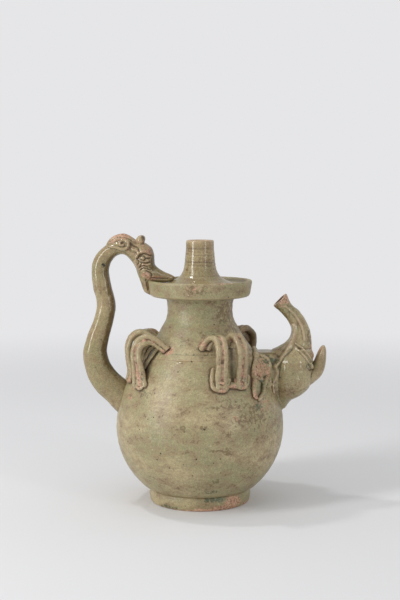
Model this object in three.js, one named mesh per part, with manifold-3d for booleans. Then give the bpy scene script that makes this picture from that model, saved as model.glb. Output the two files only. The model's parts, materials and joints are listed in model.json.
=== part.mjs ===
import * as THREE from "three";
import { mergeVertices } from "three/addons/utils/BufferGeometryUtils.js";
import Module from "manifold-3d";

// Celadon ewer: a thrown globe on a turned foot, with a neck, a mouth dish and an open tube,
// a handle that ends in a dragon head, an elephant-head spout with a raised trunk,
// and eight loops of doubled clay coil between the neck and the shoulder.
// Millimetres, +Z up. The origin is the centre of the flat base.
// The spout points along +X, the handle stands at -X and the side shown is -Y.

// Gap left by the slip between two pieces that are luted together
const lutingGap = 0.3;

// Foot
const footRadius = 49.5;
const footHeight = 13.2;
const footBevel = 1.2;

// Body: a globe a little drawn in towards the foot, with the shoulder above its widest ring
const bellyRadius = 81.6;
const bellyHeight = 74;
const bellyDepth = 78.6;
const bodyWall = 6;
const bodyFloor = 8;

// Neck, from the shoulder seam to the dish
const seamRadius = 54.7;
const seamHeight = 143.6;
const neckRadius = 31.4;
const neckHeight = 54;
const neckWall = 5;
const neckLip = 2;

// Turned lines pressed into the wet clay: one above the shoulder seam, one round the tube
const lineWidth = 1.6;
const lineDepth = 0.5;
const neckLineHeight = 4.2;
const tubeLineHeight = 18;

// Mouth dish
const dishRadius = 50.3;
const dishHeight = 17.1;
const dishWall = 4.6;
const dishTrough = 3.4;
const rimDrop = 0.9;

// Open tube that stands in the dish
const tubeRadius = 13.5;
const tubeHeight = 38.4;
const tubeWall = 3.2;
const tubeFlare = 22;
const tubeSeat = 0.8;

// Handle and dragon head: how far the clay stands clear of the belly
const handleReach = 8.5;
const handleWidth = 19;
const headWidth = 25;
const hornRadius = 3.6;
const hornLength = 9;
const hornSpread = 5.2;
const crestThickness = 4.6;
const earCoil = 1.25;
const earSink = 0.3;
const eyeRadius = 2.7;
const jawWidth = 15;

// Loops: two strands of coil side by side
const coilRadius = 3.2;
const coilSpacing = 6.2;
const loopReach = 26;
const loopRise = 23.4;
const loopDrop = 25;

// Spout
const spoutReach = 28.4;
const spoutWidth = 46;
const spoutWall = 5.5;
const spoutHoleRadius = 12;
const trunkWall = 2.9;
const trunkMouth = 17.6;
const spoutJawWidth = 13;
const earStripRadius = 2.4;
const earSpread = 13.5;
const spoutCurlRadius = 3.6;

// Facets
const roundSides = 36;
const tubeSides = 24;
const coilSides = 6;

const wasm = await Module();
wasm.setup();

const ewer = new THREE.Group();

const glaze = new THREE.MeshStandardMaterial({
  color: 0x9f9570,
  roughness: 0.22,
  metalness: 0,
});
const brownGlaze = new THREE.MeshStandardMaterial({
  color: 0x8d7c57,
  roughness: 0.25,
  metalness: 0,
});
const bareClay = new THREE.MeshStandardMaterial({
  color: 0xd3a081,
  roughness: 0.8,
  metalness: 0,
});

// Heights that follow from the dimensions above
const neckTop = seamHeight + neckHeight;
const dishBottom = neckTop + lutingGap;
const dishRim = dishBottom + dishHeight;
const tubeTop = dishRim + tubeHeight;

// Solids and cuts

function solidOf(geometry) {
  const bare = geometry.index ? geometry.toNonIndexed() : geometry.clone();
  bare.deleteAttribute("normal");
  bare.deleteAttribute("uv");
  const merged = mergeVertices(bare, 1e-4);
  return new wasm.Manifold(
    new wasm.Mesh({
      numProp: 3,
      vertProperties: new Float32Array(merged.attributes.position.array),
      triVerts: new Uint32Array(merged.index.array),
    }),
  );
}

function addPiece(name, solid, material) {
  const mesh = solid.getMesh();
  const geometry = new THREE.BufferGeometry();
  geometry.setAttribute(
    "position",
    new THREE.BufferAttribute(new Float32Array(mesh.vertProperties), 3),
  );
  geometry.setIndex(new THREE.BufferAttribute(new Uint32Array(mesh.triVerts), 1));
  geometry.computeVertexNormals();
  const piece = new THREE.Mesh(geometry, material);
  piece.name = name;
  ewer.add(piece);
}

// A smooth run of profile points through the ones given
function smooth(points, count) {
  return new THREE.SplineCurve(points.map(([r, z]) => new THREE.Vector2(r, z))).getPoints(
    count,
  );
}

function arc(x, z, width, depth, from, to, count) {
  return new THREE.EllipseCurve(x, z, width, depth, from, to, to < from).getPoints(count);
}

// The same run of points moved sideways by a distance, to the right of its direction
function offset(points, distance) {
  return points.map((point, i) => {
    const before = points[Math.max(i - 1, 0)];
    const after = points[Math.min(i + 1, points.length - 1)];
    const along = after.clone().sub(before).normalize();
    return new THREE.Vector2(point.x + along.y * distance, point.y - along.x * distance);
  });
}

// Radius of a run that goes upwards, at a height
function radiusAt(points, height) {
  const above = points.findIndex((point) => point.y > height);
  if (above < 1) return above === 0 ? points[0].x : points[points.length - 1].x;
  const low = points[above - 1];
  const high = points[above];
  return THREE.MathUtils.mapLinear(height, low.y, high.y, low.x, high.x);
}

// The same run with a turned line pressed into it at a height
function pressLine(points, height) {
  const low = height - lineWidth / 2;
  const high = height + lineWidth / 2;
  return [
    ...points.filter((point) => point.y < low),
    new THREE.Vector2(radiusAt(points, low), low),
    new THREE.Vector2(radiusAt(points, height) - lineDepth, height),
    new THREE.Vector2(radiusAt(points, high), high),
    ...points.filter((point) => point.y > high),
  ];
}

function revolve(points, sides) {
  return solidOf(new THREE.LatheGeometry(points, sides).rotateX(Math.PI / 2));
}

// Closes an outer run that goes upwards onto the axis at both ends
function core(points, sides) {
  const first = new THREE.Vector2(0, points[0].y);
  const last = new THREE.Vector2(0, points[points.length - 1].y);
  return revolve([first, ...points, last], sides);
}

// Closes a run that goes upwards against a second run that goes upwards inside it
function ring(outer, inner, sides) {
  return revolve([...outer, ...inner.slice().reverse(), outer[0].clone()], sides);
}

// Skin over a row of rings with the same number of points, closed by a fan at each end
function loft(rings) {
  const count = rings[0].length;
  const vertices = rings.flat();
  const middle = (row) =>
    row.reduce((sum, p) => sum.add(p), new THREE.Vector3()).divideScalar(row.length);
  const startCentre = vertices.push(middle(rings[0])) - 1;
  const endCentre = vertices.push(middle(rings[rings.length - 1])) - 1;
  const lastRing = (rings.length - 1) * count;
  const index = [];
  for (let i = 0; i < rings.length - 1; i += 1) {
    for (let j = 0; j < count; j += 1) {
      const a = i * count + j;
      const b = i * count + ((j + 1) % count);
      index.push(a, b, b + count, a, b + count, a + count);
    }
  }
  for (let j = 0; j < count; j += 1) {
    const next = (j + 1) % count;
    index.push(startCentre, next, j);
    index.push(endCentre, lastRing + j, lastRing + next);
  }
  const geometry = new THREE.BufferGeometry().setFromPoints(vertices);
  geometry.setIndex(index);
  return solidOf(geometry);
}

// Body of clay between two edges drawn in the XZ plane. The left edge lies to the left of
// the way the clay runs, as seen from -Y, and widths are across the plane, along Y.
// grow moves the whole surface outwards, or inwards when it is negative.
function edgeLoft({ left, right, widths, steps, sides, grow = 0, from = 0, to = 1 }) {
  const leftCurve = new THREE.CatmullRomCurve3(left.map(([x, z]) => new THREE.Vector3(x, 0, z)));
  const rightCurve = new THREE.CatmullRomCurve3(
    right.map(([x, z]) => new THREE.Vector3(x, 0, z)),
  );
  const widthCurve = new THREE.CatmullRomCurve3(widths.map((w) => new THREE.Vector3(w, 0, 0)));
  const rings = [];
  for (let i = 0; i <= steps; i += 1) {
    const t = from + ((to - from) * i) / steps;
    const a = leftCurve.getPoint(t);
    const b = rightCurve.getPoint(t);
    const centre = a.clone().add(b).multiplyScalar(0.5);
    const inPlane = a.clone().sub(centre);
    const reach = inPlane.length() + grow;
    inPlane.setLength(reach);
    const halfWidth = widthCurve.getPoint(t).x / 2 + grow;
    rings.push(
      Array.from({ length: sides }, (_, j) => {
        const angle = (j / sides) * 2 * Math.PI;
        return centre
          .clone()
          .addScaledVector(inPlane, Math.sin(angle))
          .add(new THREE.Vector3(0, halfWidth * Math.cos(angle), 0));
      }),
    );
  }
  return loft(rings);
}

// Mirror of a solid across the XZ plane
function mirrored(solid) {
  return solid.mirror([0, 1, 0]);
}

// Profiles of the thrown pieces, as outer runs that go upwards

const bodyBottom = footHeight + lutingGap;
const bodyBottomRadius = footRadius + 0.9;
const coveHeight = 2.2;
const globeStart = -Math.asin((bellyHeight - bodyBottom - coveHeight) / bellyDepth);
const shoulderRise = seamHeight - bellyHeight;
const bodyOuter = [
  new THREE.Vector2(bodyBottomRadius, bodyBottom),
  ...arc(0, bellyHeight, bellyRadius, bellyDepth, globeStart, 0, 9),
  ...smooth(
    [
      [bellyRadius, bellyHeight],
      [bellyRadius * 0.98, bellyHeight + shoulderRise * 0.22],
      [bellyRadius * 0.9, bellyHeight + shoulderRise * 0.537],
      [bellyRadius * 0.758, bellyHeight + shoulderRise * 0.833],
      [seamRadius, seamHeight],
    ],
    7,
  ).slice(1),
];
const bodyGrown = core(offset(bodyOuter, lutingGap), roundSides);

const neckBottom = seamHeight + lutingGap;
const neckRun = neckTop - neckBottom;
const neckFlare = seamRadius - neckRadius;
const neckOuter = smooth(
  [
    [seamRadius - 0.8, neckBottom],
    [neckRadius + neckFlare * 0.7, neckBottom + neckRun * 0.158],
    [neckRadius + neckFlare * 0.38, neckBottom + neckRun * 0.36],
    [neckRadius + neckFlare * 0.125, neckBottom + neckRun * 0.557],
    [neckRadius, neckBottom + neckRun * 0.74],
    [neckRadius + neckLip * 0.2, neckBottom + neckRun * 0.92],
    [neckRadius + neckLip, neckTop],
  ],
  9,
);
const neckGrown = core(
  [new THREE.Vector2(seamRadius, seamHeight), ...offset(neckOuter, lutingGap)],
  roundSides,
);
const wholeOutside = [...bodyOuter, ...neckOuter];

const rimRound = dishWall / 2;
const cornerRadius = dishRadius - 2;
// The underside runs out nearly flat to a soft corner below the upright wall
const dishOuter = [
  new THREE.Vector2(neckRadius + neckLip + 0.2, dishBottom),
  new THREE.Vector2(cornerRadius - 2.4, dishBottom + 1.6),
  new THREE.Vector2(cornerRadius - 0.4, dishBottom + 3),
  new THREE.Vector2(cornerRadius + 0.6, dishBottom + 5.4),
  ...arc(dishRadius - rimRound, dishRim - rimRound, rimRound, rimRound, 0, Math.PI / 2, 3),
];

function makeFoot() {
  const outer = [
    new THREE.Vector2(footRadius - footBevel - 0.6, 0),
    new THREE.Vector2(footRadius - 0.6, footBevel),
    new THREE.Vector2(footRadius + 0.3, footHeight * 0.6),
    new THREE.Vector2(footRadius - 0.8, footHeight),
  ];
  addPiece("foot", core(outer, roundSides), glaze);
}

// Hollow of the body, up to the open shoulder
const hollowBottom = bodyBottom + bodyFloor;
const floorRise = 1.5;
const hollowDepth = bellyDepth - bodyWall;
const hollowStart = -Math.asin((bellyHeight - hollowBottom - floorRise) / hollowDepth);
const bodyInner = [
  new THREE.Vector2(0, hollowBottom),
  ...arc(0, bellyHeight, bellyRadius - bodyWall, hollowDepth, hollowStart, 0, 4),
  ...offset(bodyOuter.slice(-8), -bodyWall).filter((_, i) => i % 2 === 0 && i > 0),
  new THREE.Vector2(seamRadius - bodyWall, seamHeight),
];

// Height at which the spout's channel leaves the body
const spoutHoleHeight = bellyHeight + 44;

function spoutHole() {
  const hole = new THREE.CylinderGeometry(
    spoutHoleRadius,
    spoutHoleRadius,
    bellyRadius,
    tubeSides,
  );
  hole.rotateZ(Math.PI / 2);
  hole.rotateX(Math.PI / 2);
  hole.translate(bellyRadius * 0.5 + 20, 0, spoutHoleHeight);
  return solidOf(hole);
}

function makeBody() {
  const wall = revolve(
    [new THREE.Vector2(0, bodyBottom), ...bodyOuter, ...bodyInner.slice().reverse()],
    roundSides,
  );
  addPiece("body", wall.subtract(spoutHole()), glaze);
}

function makeNeck() {
  const last = neckOuter.length - 1;
  const inner = offset(neckOuter, -neckWall).filter((_, i) => i % 2 === 0 || i === last);
  inner[0].y = neckBottom;
  inner[inner.length - 1].y = neckTop;
  const outer = pressLine(neckOuter, seamHeight + neckLineHeight);
  addPiece("neck", ring(outer, inner, roundSides), glaze);
}

// The tube's flared foot seats on a step in the dish's floor
const floorHeight = dishRim - dishTrough;
const tubeFoot = floorHeight + tubeSeat;
const tubeBore = tubeRadius - tubeWall;
const seatBore = tubeBore + 3;

function makeDish() {
  const innerWall = dishRadius - dishWall;
  const inner = [
    new THREE.Vector2(seatBore, dishBottom),
    new THREE.Vector2(seatBore, tubeFoot),
    ...smooth(
      [
        [tubeFlare + 2, tubeFoot],
        [tubeFlare + 10, floorHeight + 0.2],
        [innerWall - 4, floorHeight],
        [innerWall - 0.8, floorHeight + rimDrop],
      ],
      5,
    ),
    new THREE.Vector2(innerWall + 0.5, dishRim - rimDrop),
  ];
  addPiece("dish", ring(dishOuter, inner, roundSides), glaze);
}

const tubeBottom = tubeFoot + lutingGap;
const tubeRun = tubeTop - tubeBottom;
const tubeOuter = [
  ...smooth(
    [
      [tubeFlare + 0.8, tubeBottom],
      [tubeFlare - 2.7, tubeBottom + tubeRun * 0.135],
      [tubeRadius + 2.8, tubeBottom + tubeRun * 0.28],
      [tubeRadius + 1.7, tubeBottom + tubeRun * 0.42],
      [tubeRadius + 0.5, tubeBottom + tubeRun * 0.63],
    ],
    6,
  ),
  new THREE.Vector2(tubeRadius, tubeBottom + tubeRun * 0.74),
  ...arc(tubeRadius - tubeWall / 2, tubeTop - tubeWall / 2, tubeWall / 2, tubeWall / 2, 0, Math.PI, 5),
];

function makeTube() {
  const outer = pressLine(tubeOuter, tubeBottom + tubeLineHeight);
  const inner = [
    new THREE.Vector2(tubeBore + 1.2, tubeBottom),
    new THREE.Vector2(tubeBore, tubeBottom + tubeRun * 0.4),
  ];
  addPiece("mouth_tube", ring(outer, inner, tubeSides), brownGlaze);
}

// Handle and dragon head: one line of clay from the shoulder over the top to the dish

const handleBulge = -(bellyRadius + handleReach);
const clayLeft = [
  [handleBulge + 16, bellyHeight + 14],
  [handleBulge - 6, bellyHeight + 24],
  [handleBulge - 20, bellyHeight + 46],
  [handleBulge - 23.4, bellyHeight + 70],
  [handleBulge - 13.3, bellyHeight + 102],
  [handleBulge - 10, dishRim - 23.6],
  [handleBulge - 14.8, dishRim + 7.4],
  [handleBulge - 12.6, dishRim + 20.4],
  [-dishRadius - 43.4, dishRim + 31.4],
  [-dishRadius - 32, dishRim + 39],
  [-dishRadius - 20, dishRim + 40.4],
  [-dishRadius - 8, dishRim + 37.6],
  [-dishRadius + 2.4, dishRim + 32],
  [-dishRadius + 7, dishRim + 23.6],
  [-dishRadius + 6.6, dishRim + 14.9],
  [-dishRadius + 13.4, dishRim + 8.6],
  [-dishRadius + 24.4, dishRim + 3.4],
];
const clayRight = [
  [handleBulge + 30, bellyHeight + 34],
  [handleBulge + 20.5, bellyHeight + 42],
  [handleBulge + 7, bellyHeight + 55],
  [handleBulge, bellyHeight + 71],
  [handleBulge + 6.5, bellyHeight + 102],
  [handleBulge + 8.8, dishRim - 23.6],
  [handleBulge + 2, dishRim + 7.4],
  [handleBulge + 4.9, dishRim + 17.4],
  [-dishRadius - 30.5, dishRim + 22.2],
  [-dishRadius - 27, dishRim + 24.2],
  [-dishRadius - 22.4, dishRim + 25.2],
  [-dishRadius - 18, dishRim + 22.4],
  [-dishRadius - 14.5, dishRim + 17.9],
  [-dishRadius - 11.6, dishRim + 11.4],
  [-dishRadius - 8, dishRim + 3.8],
  [-dishRadius + 8, dishRim + 0.6],
  [-dishRadius + 23, dishRim + 0.9],
];
const clayWidths = [
  30, 28, 25, 23, 20.5, handleWidth, handleWidth - 1, handleWidth - 0.5, 18.5, 20, 21.5, 23.5,
  headWidth, headWidth, headWidth - 2, 19, 9,
];
const clayLine = { left: clayLeft, right: clayRight, widths: clayWidths, sides: 14 };
const clayStretches = clayWidths.length - 1;
const headStart = 8.2 / clayStretches;
const headGapTurn = 0.0006;

function makeHandle() {
  const handle = edgeLoft({ ...clayLine, steps: 24, from: 0, to: headStart - headGapTurn });
  addPiece("handle", handle.subtract(bodyGrown).subtract(neckGrown), brownGlaze);
}

const handleGrown = edgeLoft({ ...clayLine, steps: 12, to: headStart / 2, grow: lutingGap });

const dishGrown = core(
  [
    new THREE.Vector2(neckRadius + neckLip, dishBottom - lutingGap),
    ...offset(dishOuter.slice(1, -1), lutingGap),
    new THREE.Vector2(dishRadius - rimRound, dishRim + lutingGap),
    new THREE.Vector2(dishRadius - dishWall, dishRim - rimDrop + lutingGap),
    new THREE.Vector2(dishRadius - dishWall - 4, floorHeight + 2 * lutingGap),
    new THREE.Vector2(tubeFlare + 2, tubeFoot + 2 * lutingGap),
  ],
  roundSides,
);
const headSteps = 20;
const headFrom = headStart + headGapTurn;
const headStep = (1 - headFrom) / headSteps;
const headLine = { ...clayLine, steps: headSteps, from: headFrom };
// The grown copy also covers the top of the handle, so that the crest clears both
const napeSteps = 3;
const headGrown = edgeLoft({
  ...headLine,
  grow: lutingGap,
  steps: headSteps + napeSteps,
  from: headFrom - napeSteps * headStep,
});

function makeDragonHead() {
  const head = edgeLoft(headLine);
  addPiece("dragon_head", head.subtract(dishGrown), glaze);
}

function makeDragonJaw() {
  const jaw = edgeLoft({
    left: [
      [-dishRadius - 2, dishRim + 3],
      [-dishRadius + 2, dishRim - 5],
      [-dishRadius + 4, dishRim - 13],
      [-dishRadius + 9, dishRim - 17],
    ],
    right: [
      [-dishRadius - 11, dishRim + 6],
      [-dishRadius - 7.4, dishRim - 2],
      [-dishRadius - 4.6, dishRim - 11.2],
      [-dishRadius + 2.6, dishRim - 17.4],
    ],
    widths: [jawWidth, jawWidth, jawWidth - 2, jawWidth - 7],
    steps: 8,
    sides: 12,
  });
  const seated = jaw.subtract(dishGrown).subtract(headGrown);
  addPiece("dragon_lower_jaw", seated, bareClay);
}

function makeCrest() {
  const outline = new THREE.Shape();
  outline.moveTo(-dishRadius - 42, dishRim + 30);
  outline.splineThru(
    [
      [-dishRadius - 38, dishRim + 38.4],
      [-dishRadius - 33, dishRim + 42.6],
      [-dishRadius - 25, dishRim + 45.2],
      [-dishRadius - 18, dishRim + 43.2],
      [-dishRadius - 11, dishRim + 39.4],
      [-dishRadius - 7, dishRim + 35],
    ].map(([x, z]) => new THREE.Vector2(x, z)),
  );
  outline.lineTo(-dishRadius - 22, dishRim + 33);
  const comb = new THREE.ExtrudeGeometry(outline, {
    depth: crestThickness,
    bevelEnabled: false,
    curveSegments: 3,
  });
  comb.translate(0, 0, -crestThickness / 2);
  comb.rotateX(Math.PI / 2);
  addPiece("dragon_crest", solidOf(comb).subtract(headGrown), bareClay);
}

// Stub of a horn with a round end
function dragonHorn() {
  const tip = arc(0, hornLength - hornRadius, hornRadius, hornRadius, 0, Math.PI / 2, 3);
  const profile = [new THREE.Vector2(0, 0), new THREE.Vector2(hornRadius, 0), ...tip];
  const horn = new THREE.LatheGeometry(profile, 10);
  horn.rotateX(Math.PI / 2);
  horn.rotateX(hornSpread / 20);
  horn.translate(-dishRadius - 5.4, -hornSpread, dishRim + 34.4);
  return solidOf(horn).subtract(headGrown);
}

// Half the width of the head at a place on the clay line
function headHalfWidth(t) {
  const curve = new THREE.CatmullRomCurve3(clayWidths.map((w) => new THREE.Vector3(w, 0, 0)));
  return curve.getPoint(t).x / 2;
}

// Coiled ear: a clay rope rolled up like a snail shell against the side of the head
function dragonEar() {
  const turns = 1.35;
  const earStretch = 1.25;
  const pitch = 2 * earCoil + 0.7;
  const steps = 17;
  const side = -headHalfWidth(9.6 / clayStretches) + earSink;
  const centre = new THREE.Vector3(-dishRadius - 23.6, side, dishRim + 33.8);
  const rings = [];
  for (let i = 0; i <= steps; i += 1) {
    const turn = (i / steps) * turns;
    const angle = -0.6 - turn * 2 * Math.PI;
    const radius = 0.5 + pitch * (turns - turn);
    const outward = new THREE.Vector3(Math.cos(angle), 0, Math.sin(angle));
    const point = centre.clone().add(
      new THREE.Vector3(outward.x * radius * earStretch, 0, outward.z * radius),
    );
    rings.push(
      Array.from({ length: coilSides }, (_, j) => {
        const around = (j / coilSides) * 2 * Math.PI;
        return point
          .clone()
          .addScaledVector(outward, earCoil * Math.cos(around))
          .add(new THREE.Vector3(0, -earCoil * 1.6 * Math.sin(around), 0));
      }),
    );
  }
  return loft(rings).subtract(headGrown);
}

function dragonEye() {
  const eye = new THREE.SphereGeometry(eyeRadius, 10, 6);
  eye.translate(-dishRadius - 4.4, -headHalfWidth(13 / clayStretches) + 1, dishRim + 20.8);
  return solidOf(eye).subtract(headGrown);
}

function addPair(name, solid, material) {
  addPiece(name + "_near", solid, material);
  addPiece(name + "_far", mirrored(solid), material);
}

// Two strands side by side, as rings of points along a line of stations. Each station has a
// point, the direction across the strands, half the distance between their middles, the radius
// of a strand, and fill, which runs from 0 for an open groove between them to 1 for none.
const lobeTurns = [-100, -50, 0, 50, 100].map((turn) => THREE.MathUtils.degToRad(turn));

function strap(stations) {
  const rings = stations.map(({ point, across, half, radius, fill }, i) => {
    const before = stations[Math.max(i - 1, 0)].point;
    const after = stations[Math.min(i + 1, stations.length - 1)].point;
    const along = after.clone().sub(before).normalize();
    const sideways = across.clone().addScaledVector(along, -across.dot(along)).normalize();
    const outward = along.clone().cross(sideways);
    const groove = THREE.MathUtils.lerp(radius * 0.35, radius * 0.95, fill);
    const lobe = lobeTurns.map((turn) => [half + radius * Math.cos(turn), radius * Math.sin(turn)]);
    const outline = [...lobe, [0, groove], ...lobe.map(([u, v]) => [-u, -v]), [0, -groove]];
    return outline.map(([u, v]) =>
      point.clone().addScaledVector(sideways, u).addScaledVector(outward, v),
    );
  });
  return loft(rings);
}

function standingAt(turn, radius, height) {
  const angle = THREE.MathUtils.degToRad(turn);
  return new THREE.Vector3(radius * Math.sin(angle), -radius * Math.cos(angle), height);
}

// Line of a loop from its upper end on the neck over the top to its foot on the shoulder:
// height above or below the seam and distance out from the wall, as shares of the loop's own
const loopLine = new THREE.SplineCurve(
  [
    [0.47, 0.02],
    [0.833, 0.39],
    [1, 0.685],
    [0.923, 0.946],
    [0.64, 0.98],
    [0.28, 0.83],
    [-0.1, 0.54],
    [-0.44, 0.29],
    [-0.76, 0.115],
    [-1, 0.07],
  ].map(([height, reach]) => new THREE.Vector2(height, reach)),
);
const loopSteps = 11;
const footFrom = 0.86;
const footRounding = 0.155;

// Turns are in degrees from the side shown towards the spout
function makeLoop(name, { upper, foot, rise }) {
  const stations = Array.from({ length: loopSteps + 1 }, (_, i) => {
    const t = i / loopSteps;
    const share = loopLine.getPoint(t);
    const height = seamHeight + share.x * (share.x > 0 ? loopRise * rise : loopDrop);
    const turn = THREE.MathUtils.lerp(upper, foot, THREE.MathUtils.smoothstep(t, 0, 0.45));
    const angle = THREE.MathUtils.degToRad(turn);
    const rounded = Math.sqrt(1 - (Math.max(t - footFrom, 0) / footRounding) ** 2);
    return {
      point: standingAt(turn, radiusAt(wholeOutside, height) + share.y * loopReach, height),
      across: new THREE.Vector3(Math.cos(angle), Math.sin(angle), 0),
      half: (coilSpacing / 2) * rounded,
      radius: coilRadius * THREE.MathUtils.lerp(0.55, 1, rounded),
      fill: 1 - rounded,
    };
  });
  const coil = strap(stations).subtract(neckGrown).subtract(bodyGrown);
  addPiece(name, coil.subtract(handleGrown).subtract(spoutHeadGrown), glaze);
}

const loops = {
  lug_front_left_a: { upper: -62, foot: -74, rise: 1 },
  lug_front_left_b: { upper: -43, foot: -57, rise: 0.93 },
  lug_front_right_a: { upper: 6, foot: 17, rise: 1 },
  lug_front_right_b: { upper: 29, foot: 33, rise: 1 },
  lug_rear_right_a: { upper: 137, foot: 134, rise: 0.82 },
  lug_rear_right_b: { upper: 156, foot: 152, rise: 0.9 },
  lug_rear_left_a: { upper: -133, foot: -129, rise: 0.85 },
  lug_rear_left_b: { upper: -152, foot: -147, rise: 0.9 },
};

// Spout: an elephant head whose raised trunk is the pouring tube

const spoutFace = bellyRadius + spoutReach;
const brow = bellyHeight + 73.5;
const browLine = brow + 5.8;
const spoutSections = {
  left: [
    [50, bellyHeight + 10],
    [50, bellyHeight + 20],
    [50, bellyHeight + 32],
    [50, bellyHeight + 50],
    [50, bellyHeight + 64],
    [51, brow],
    [spoutFace - 36, brow + 2.2],
    [spoutFace - 29, browLine],
  ],
  right: [
    [spoutFace - 36, bellyHeight + 10],
    [spoutFace - 26.5, bellyHeight + 20],
    [spoutFace - 9, bellyHeight + 32],
    [spoutFace - 2, bellyHeight + 50],
    [spoutFace, bellyHeight + 64],
    [spoutFace - 1.3, brow],
    [spoutFace - 2.2, brow + 2.2],
    [spoutFace - 2, browLine],
  ],
  widths: [
    14,
    spoutWidth * 0.66,
    spoutWidth * 0.9,
    spoutWidth,
    spoutWidth * 0.96,
    spoutWidth * 0.8,
    spoutWidth * 0.64,
    spoutWidth * 0.56,
  ],
  sides: 18,
};
const headSections = { ...spoutSections, steps: 12 };
const spoutHeadGrown = edgeLoft({ ...headSections, grow: lutingGap });

const trunkSections = {
  left: [
    [spoutFace - 36, brow + 2.2],
    [spoutFace - 29, browLine],
    [spoutFace - 25, browLine + 5.2],
    [spoutFace - 22.2, browLine + 11],
    [spoutFace - 23.4, browLine + 16.4],
    [spoutFace - 27.2, browLine + 23],
    [spoutFace - 32.4, browLine + 28.6],
    [spoutFace - 38.4, browLine + 34.6],
  ],
  right: [
    [spoutFace - 2.2, brow + 2.2],
    [spoutFace - 2, browLine],
    [spoutFace - 2.6, browLine + 5.6],
    [spoutFace - 3.6, browLine + 13],
    [spoutFace - 7.7, browLine + 22],
    [spoutFace - 13.2, browLine + 30.4],
    [spoutFace - 20.4, browLine + 37.2],
    [spoutFace - 26.8, browLine + 48.6],
  ],
  widths: [spoutWidth * 0.64, spoutWidth * 0.56, 22, 17.6, 15, 14.4, 14, trunkMouth],
  steps: 12,
  sides: 16,
};

function makeSpoutHead() {
  const outside = edgeLoft(headSections);
  const hollow = edgeLoft({ ...headSections, grow: -spoutWall, from: 0.25, to: 1 });
  const passage = edgeLoft({
    left: [[spoutFace - 24.4, brow - 8], [spoutFace - 23, browLine + 1]],
    right: [[spoutFace - 8.4, brow - 8], [spoutFace - 8.8, browLine + 1]],
    widths: [17, 17],
    steps: 1,
    sides: 16,
  });
  const shell = outside.subtract(hollow.add(passage)).subtract(bodyGrown).subtract(neckGrown);
  addPiece("spout_head", shell, glaze);
}

// The bore runs on past the lip in the direction in which the trunk points
const lipCut = new THREE.Vector2(7.7, 6.4);

function makeTrunk() {
  const outside = edgeLoft(trunkSections);
  const bore = edgeLoft({ ...trunkSections, grow: -trunkWall });
  const past = ([x, z]) => [x - lipCut.x, z + lipCut.y];
  const lip = edgeLoft({
    left: [trunkSections.left.at(-1), past(trunkSections.left.at(-1))],
    right: [trunkSections.right.at(-1), past(trunkSections.right.at(-1))],
    widths: [trunkMouth, trunkMouth],
    steps: 1,
    sides: 16,
    grow: -trunkWall,
  });
  const trunk = outside.subtract(bore).subtract(lip);
  addPiece("spout_trunk", trunk.trimByPlane([0, 0, 1], browLine + lutingGap), glaze);
}

const spoutJawLine = {
  left: [
    [spoutFace - 12, bellyHeight + 49],
    [spoutFace - 4, bellyHeight + 57],
    [spoutFace + 1.5, bellyHeight + 65],
    [spoutFace + 4.8, bellyHeight + 71.6],
    [spoutFace + 8, bellyHeight + 77],
  ],
  right: [
    [spoutFace - 6, bellyHeight + 38.5],
    [spoutFace + 6.5, bellyHeight + 44.6],
    [spoutFace + 11.8, bellyHeight + 56],
    [spoutFace + 13, bellyHeight + 67],
    [spoutFace + 11.6, bellyHeight + 76],
  ],
  widths: [spoutJawWidth + 7, spoutJawWidth + 4, spoutJawWidth + 1, spoutJawWidth - 1, 7],
  steps: 11,
  sides: 14,
};
const spoutJawGrown = edgeLoft({ ...spoutJawLine, grow: lutingGap });

function makeSpoutJaw() {
  addPiece("spout_lower_jaw", edgeLoft(spoutJawLine).subtract(spoutHeadGrown), glaze);
}

// Ear: two strips of clay with a web between them, from the neck down to a shared tip.
// Each station has its share of the lean from root to tip, its height from the brow, how far
// it stands out from the wall and half its spread as a share of the ear's own.
const earStations = [
  [0, 4.5, 6, 0.06],
  [0.08, -6.5, 6, 0.26],
  [0.27, -17.5, 5.5, 0.6],
  [0.64, -29, 2.5, 0.48],
  [0.9, -39.5, 1.5, 0.25],
  [1, -47, 0.8, 0.07],
];
const earRootTurn = 65;
const earFacing = THREE.MathUtils.degToRad(42);
const earSteps = 10;

function spoutEar(tipTurn) {
  const middle = new THREE.CatmullRomCurve3(
    earStations.map(([lean, height, reach]) => {
      const z = brow + height;
      const turn = THREE.MathUtils.lerp(earRootTurn, tipTurn, lean);
      return standingAt(turn, radiusAt(wholeOutside, z) + reach, z);
    }),
  );
  const spread = new THREE.CatmullRomCurve3(
    earStations.map((station) => new THREE.Vector3(station[3] * earSpread, 0, 0)),
  );
  const stations = Array.from({ length: earSteps + 1 }, (_, i) => ({
    point: middle.getPoint(i / earSteps),
    across: new THREE.Vector3(Math.cos(earFacing), Math.sin(earFacing), 0),
    half: spread.getPoint(i / earSteps).x,
    radius: earStripRadius,
    fill: 0.3,
  }));
  return strap(stations).subtract(bodyGrown).subtract(neckGrown).subtract(spoutHeadGrown);
}

// Drop of clay where the upper and lower lips of the elephant meet
function spoutCurl() {
  const curl = new THREE.SphereGeometry(spoutCurlRadius, 10, 6);
  curl.scale(1.15, 0.7, 0.8);
  curl.rotateY(Math.PI / 5);
  curl.translate(spoutFace - 3, -spoutJawWidth * 0.68, bellyHeight + 56.3);
  return solidOf(curl).subtract(spoutHeadGrown).subtract(spoutJawGrown);
}

makeFoot();
makeBody();
makeNeck();
makeDish();
makeTube();
makeHandle();
makeDragonHead();
makeDragonJaw();
makeCrest();
addPair("dragon_horn", dragonHorn(), bareClay);
addPair("dragon_curl", dragonEar(), brownGlaze);
addPair("dragon_eye", dragonEye(), brownGlaze);
Object.entries(loops).forEach(([name, loop]) => makeLoop(name, loop));
makeSpoutHead();
makeTrunk();
makeSpoutJaw();
addPiece("spout_ear_near", spoutEar(46), glaze);
addPiece("spout_ear_far", mirrored(spoutEar(57)), glaze);
addPair("spout_curl", spoutCurl(), glaze);

export default ewer;
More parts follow.
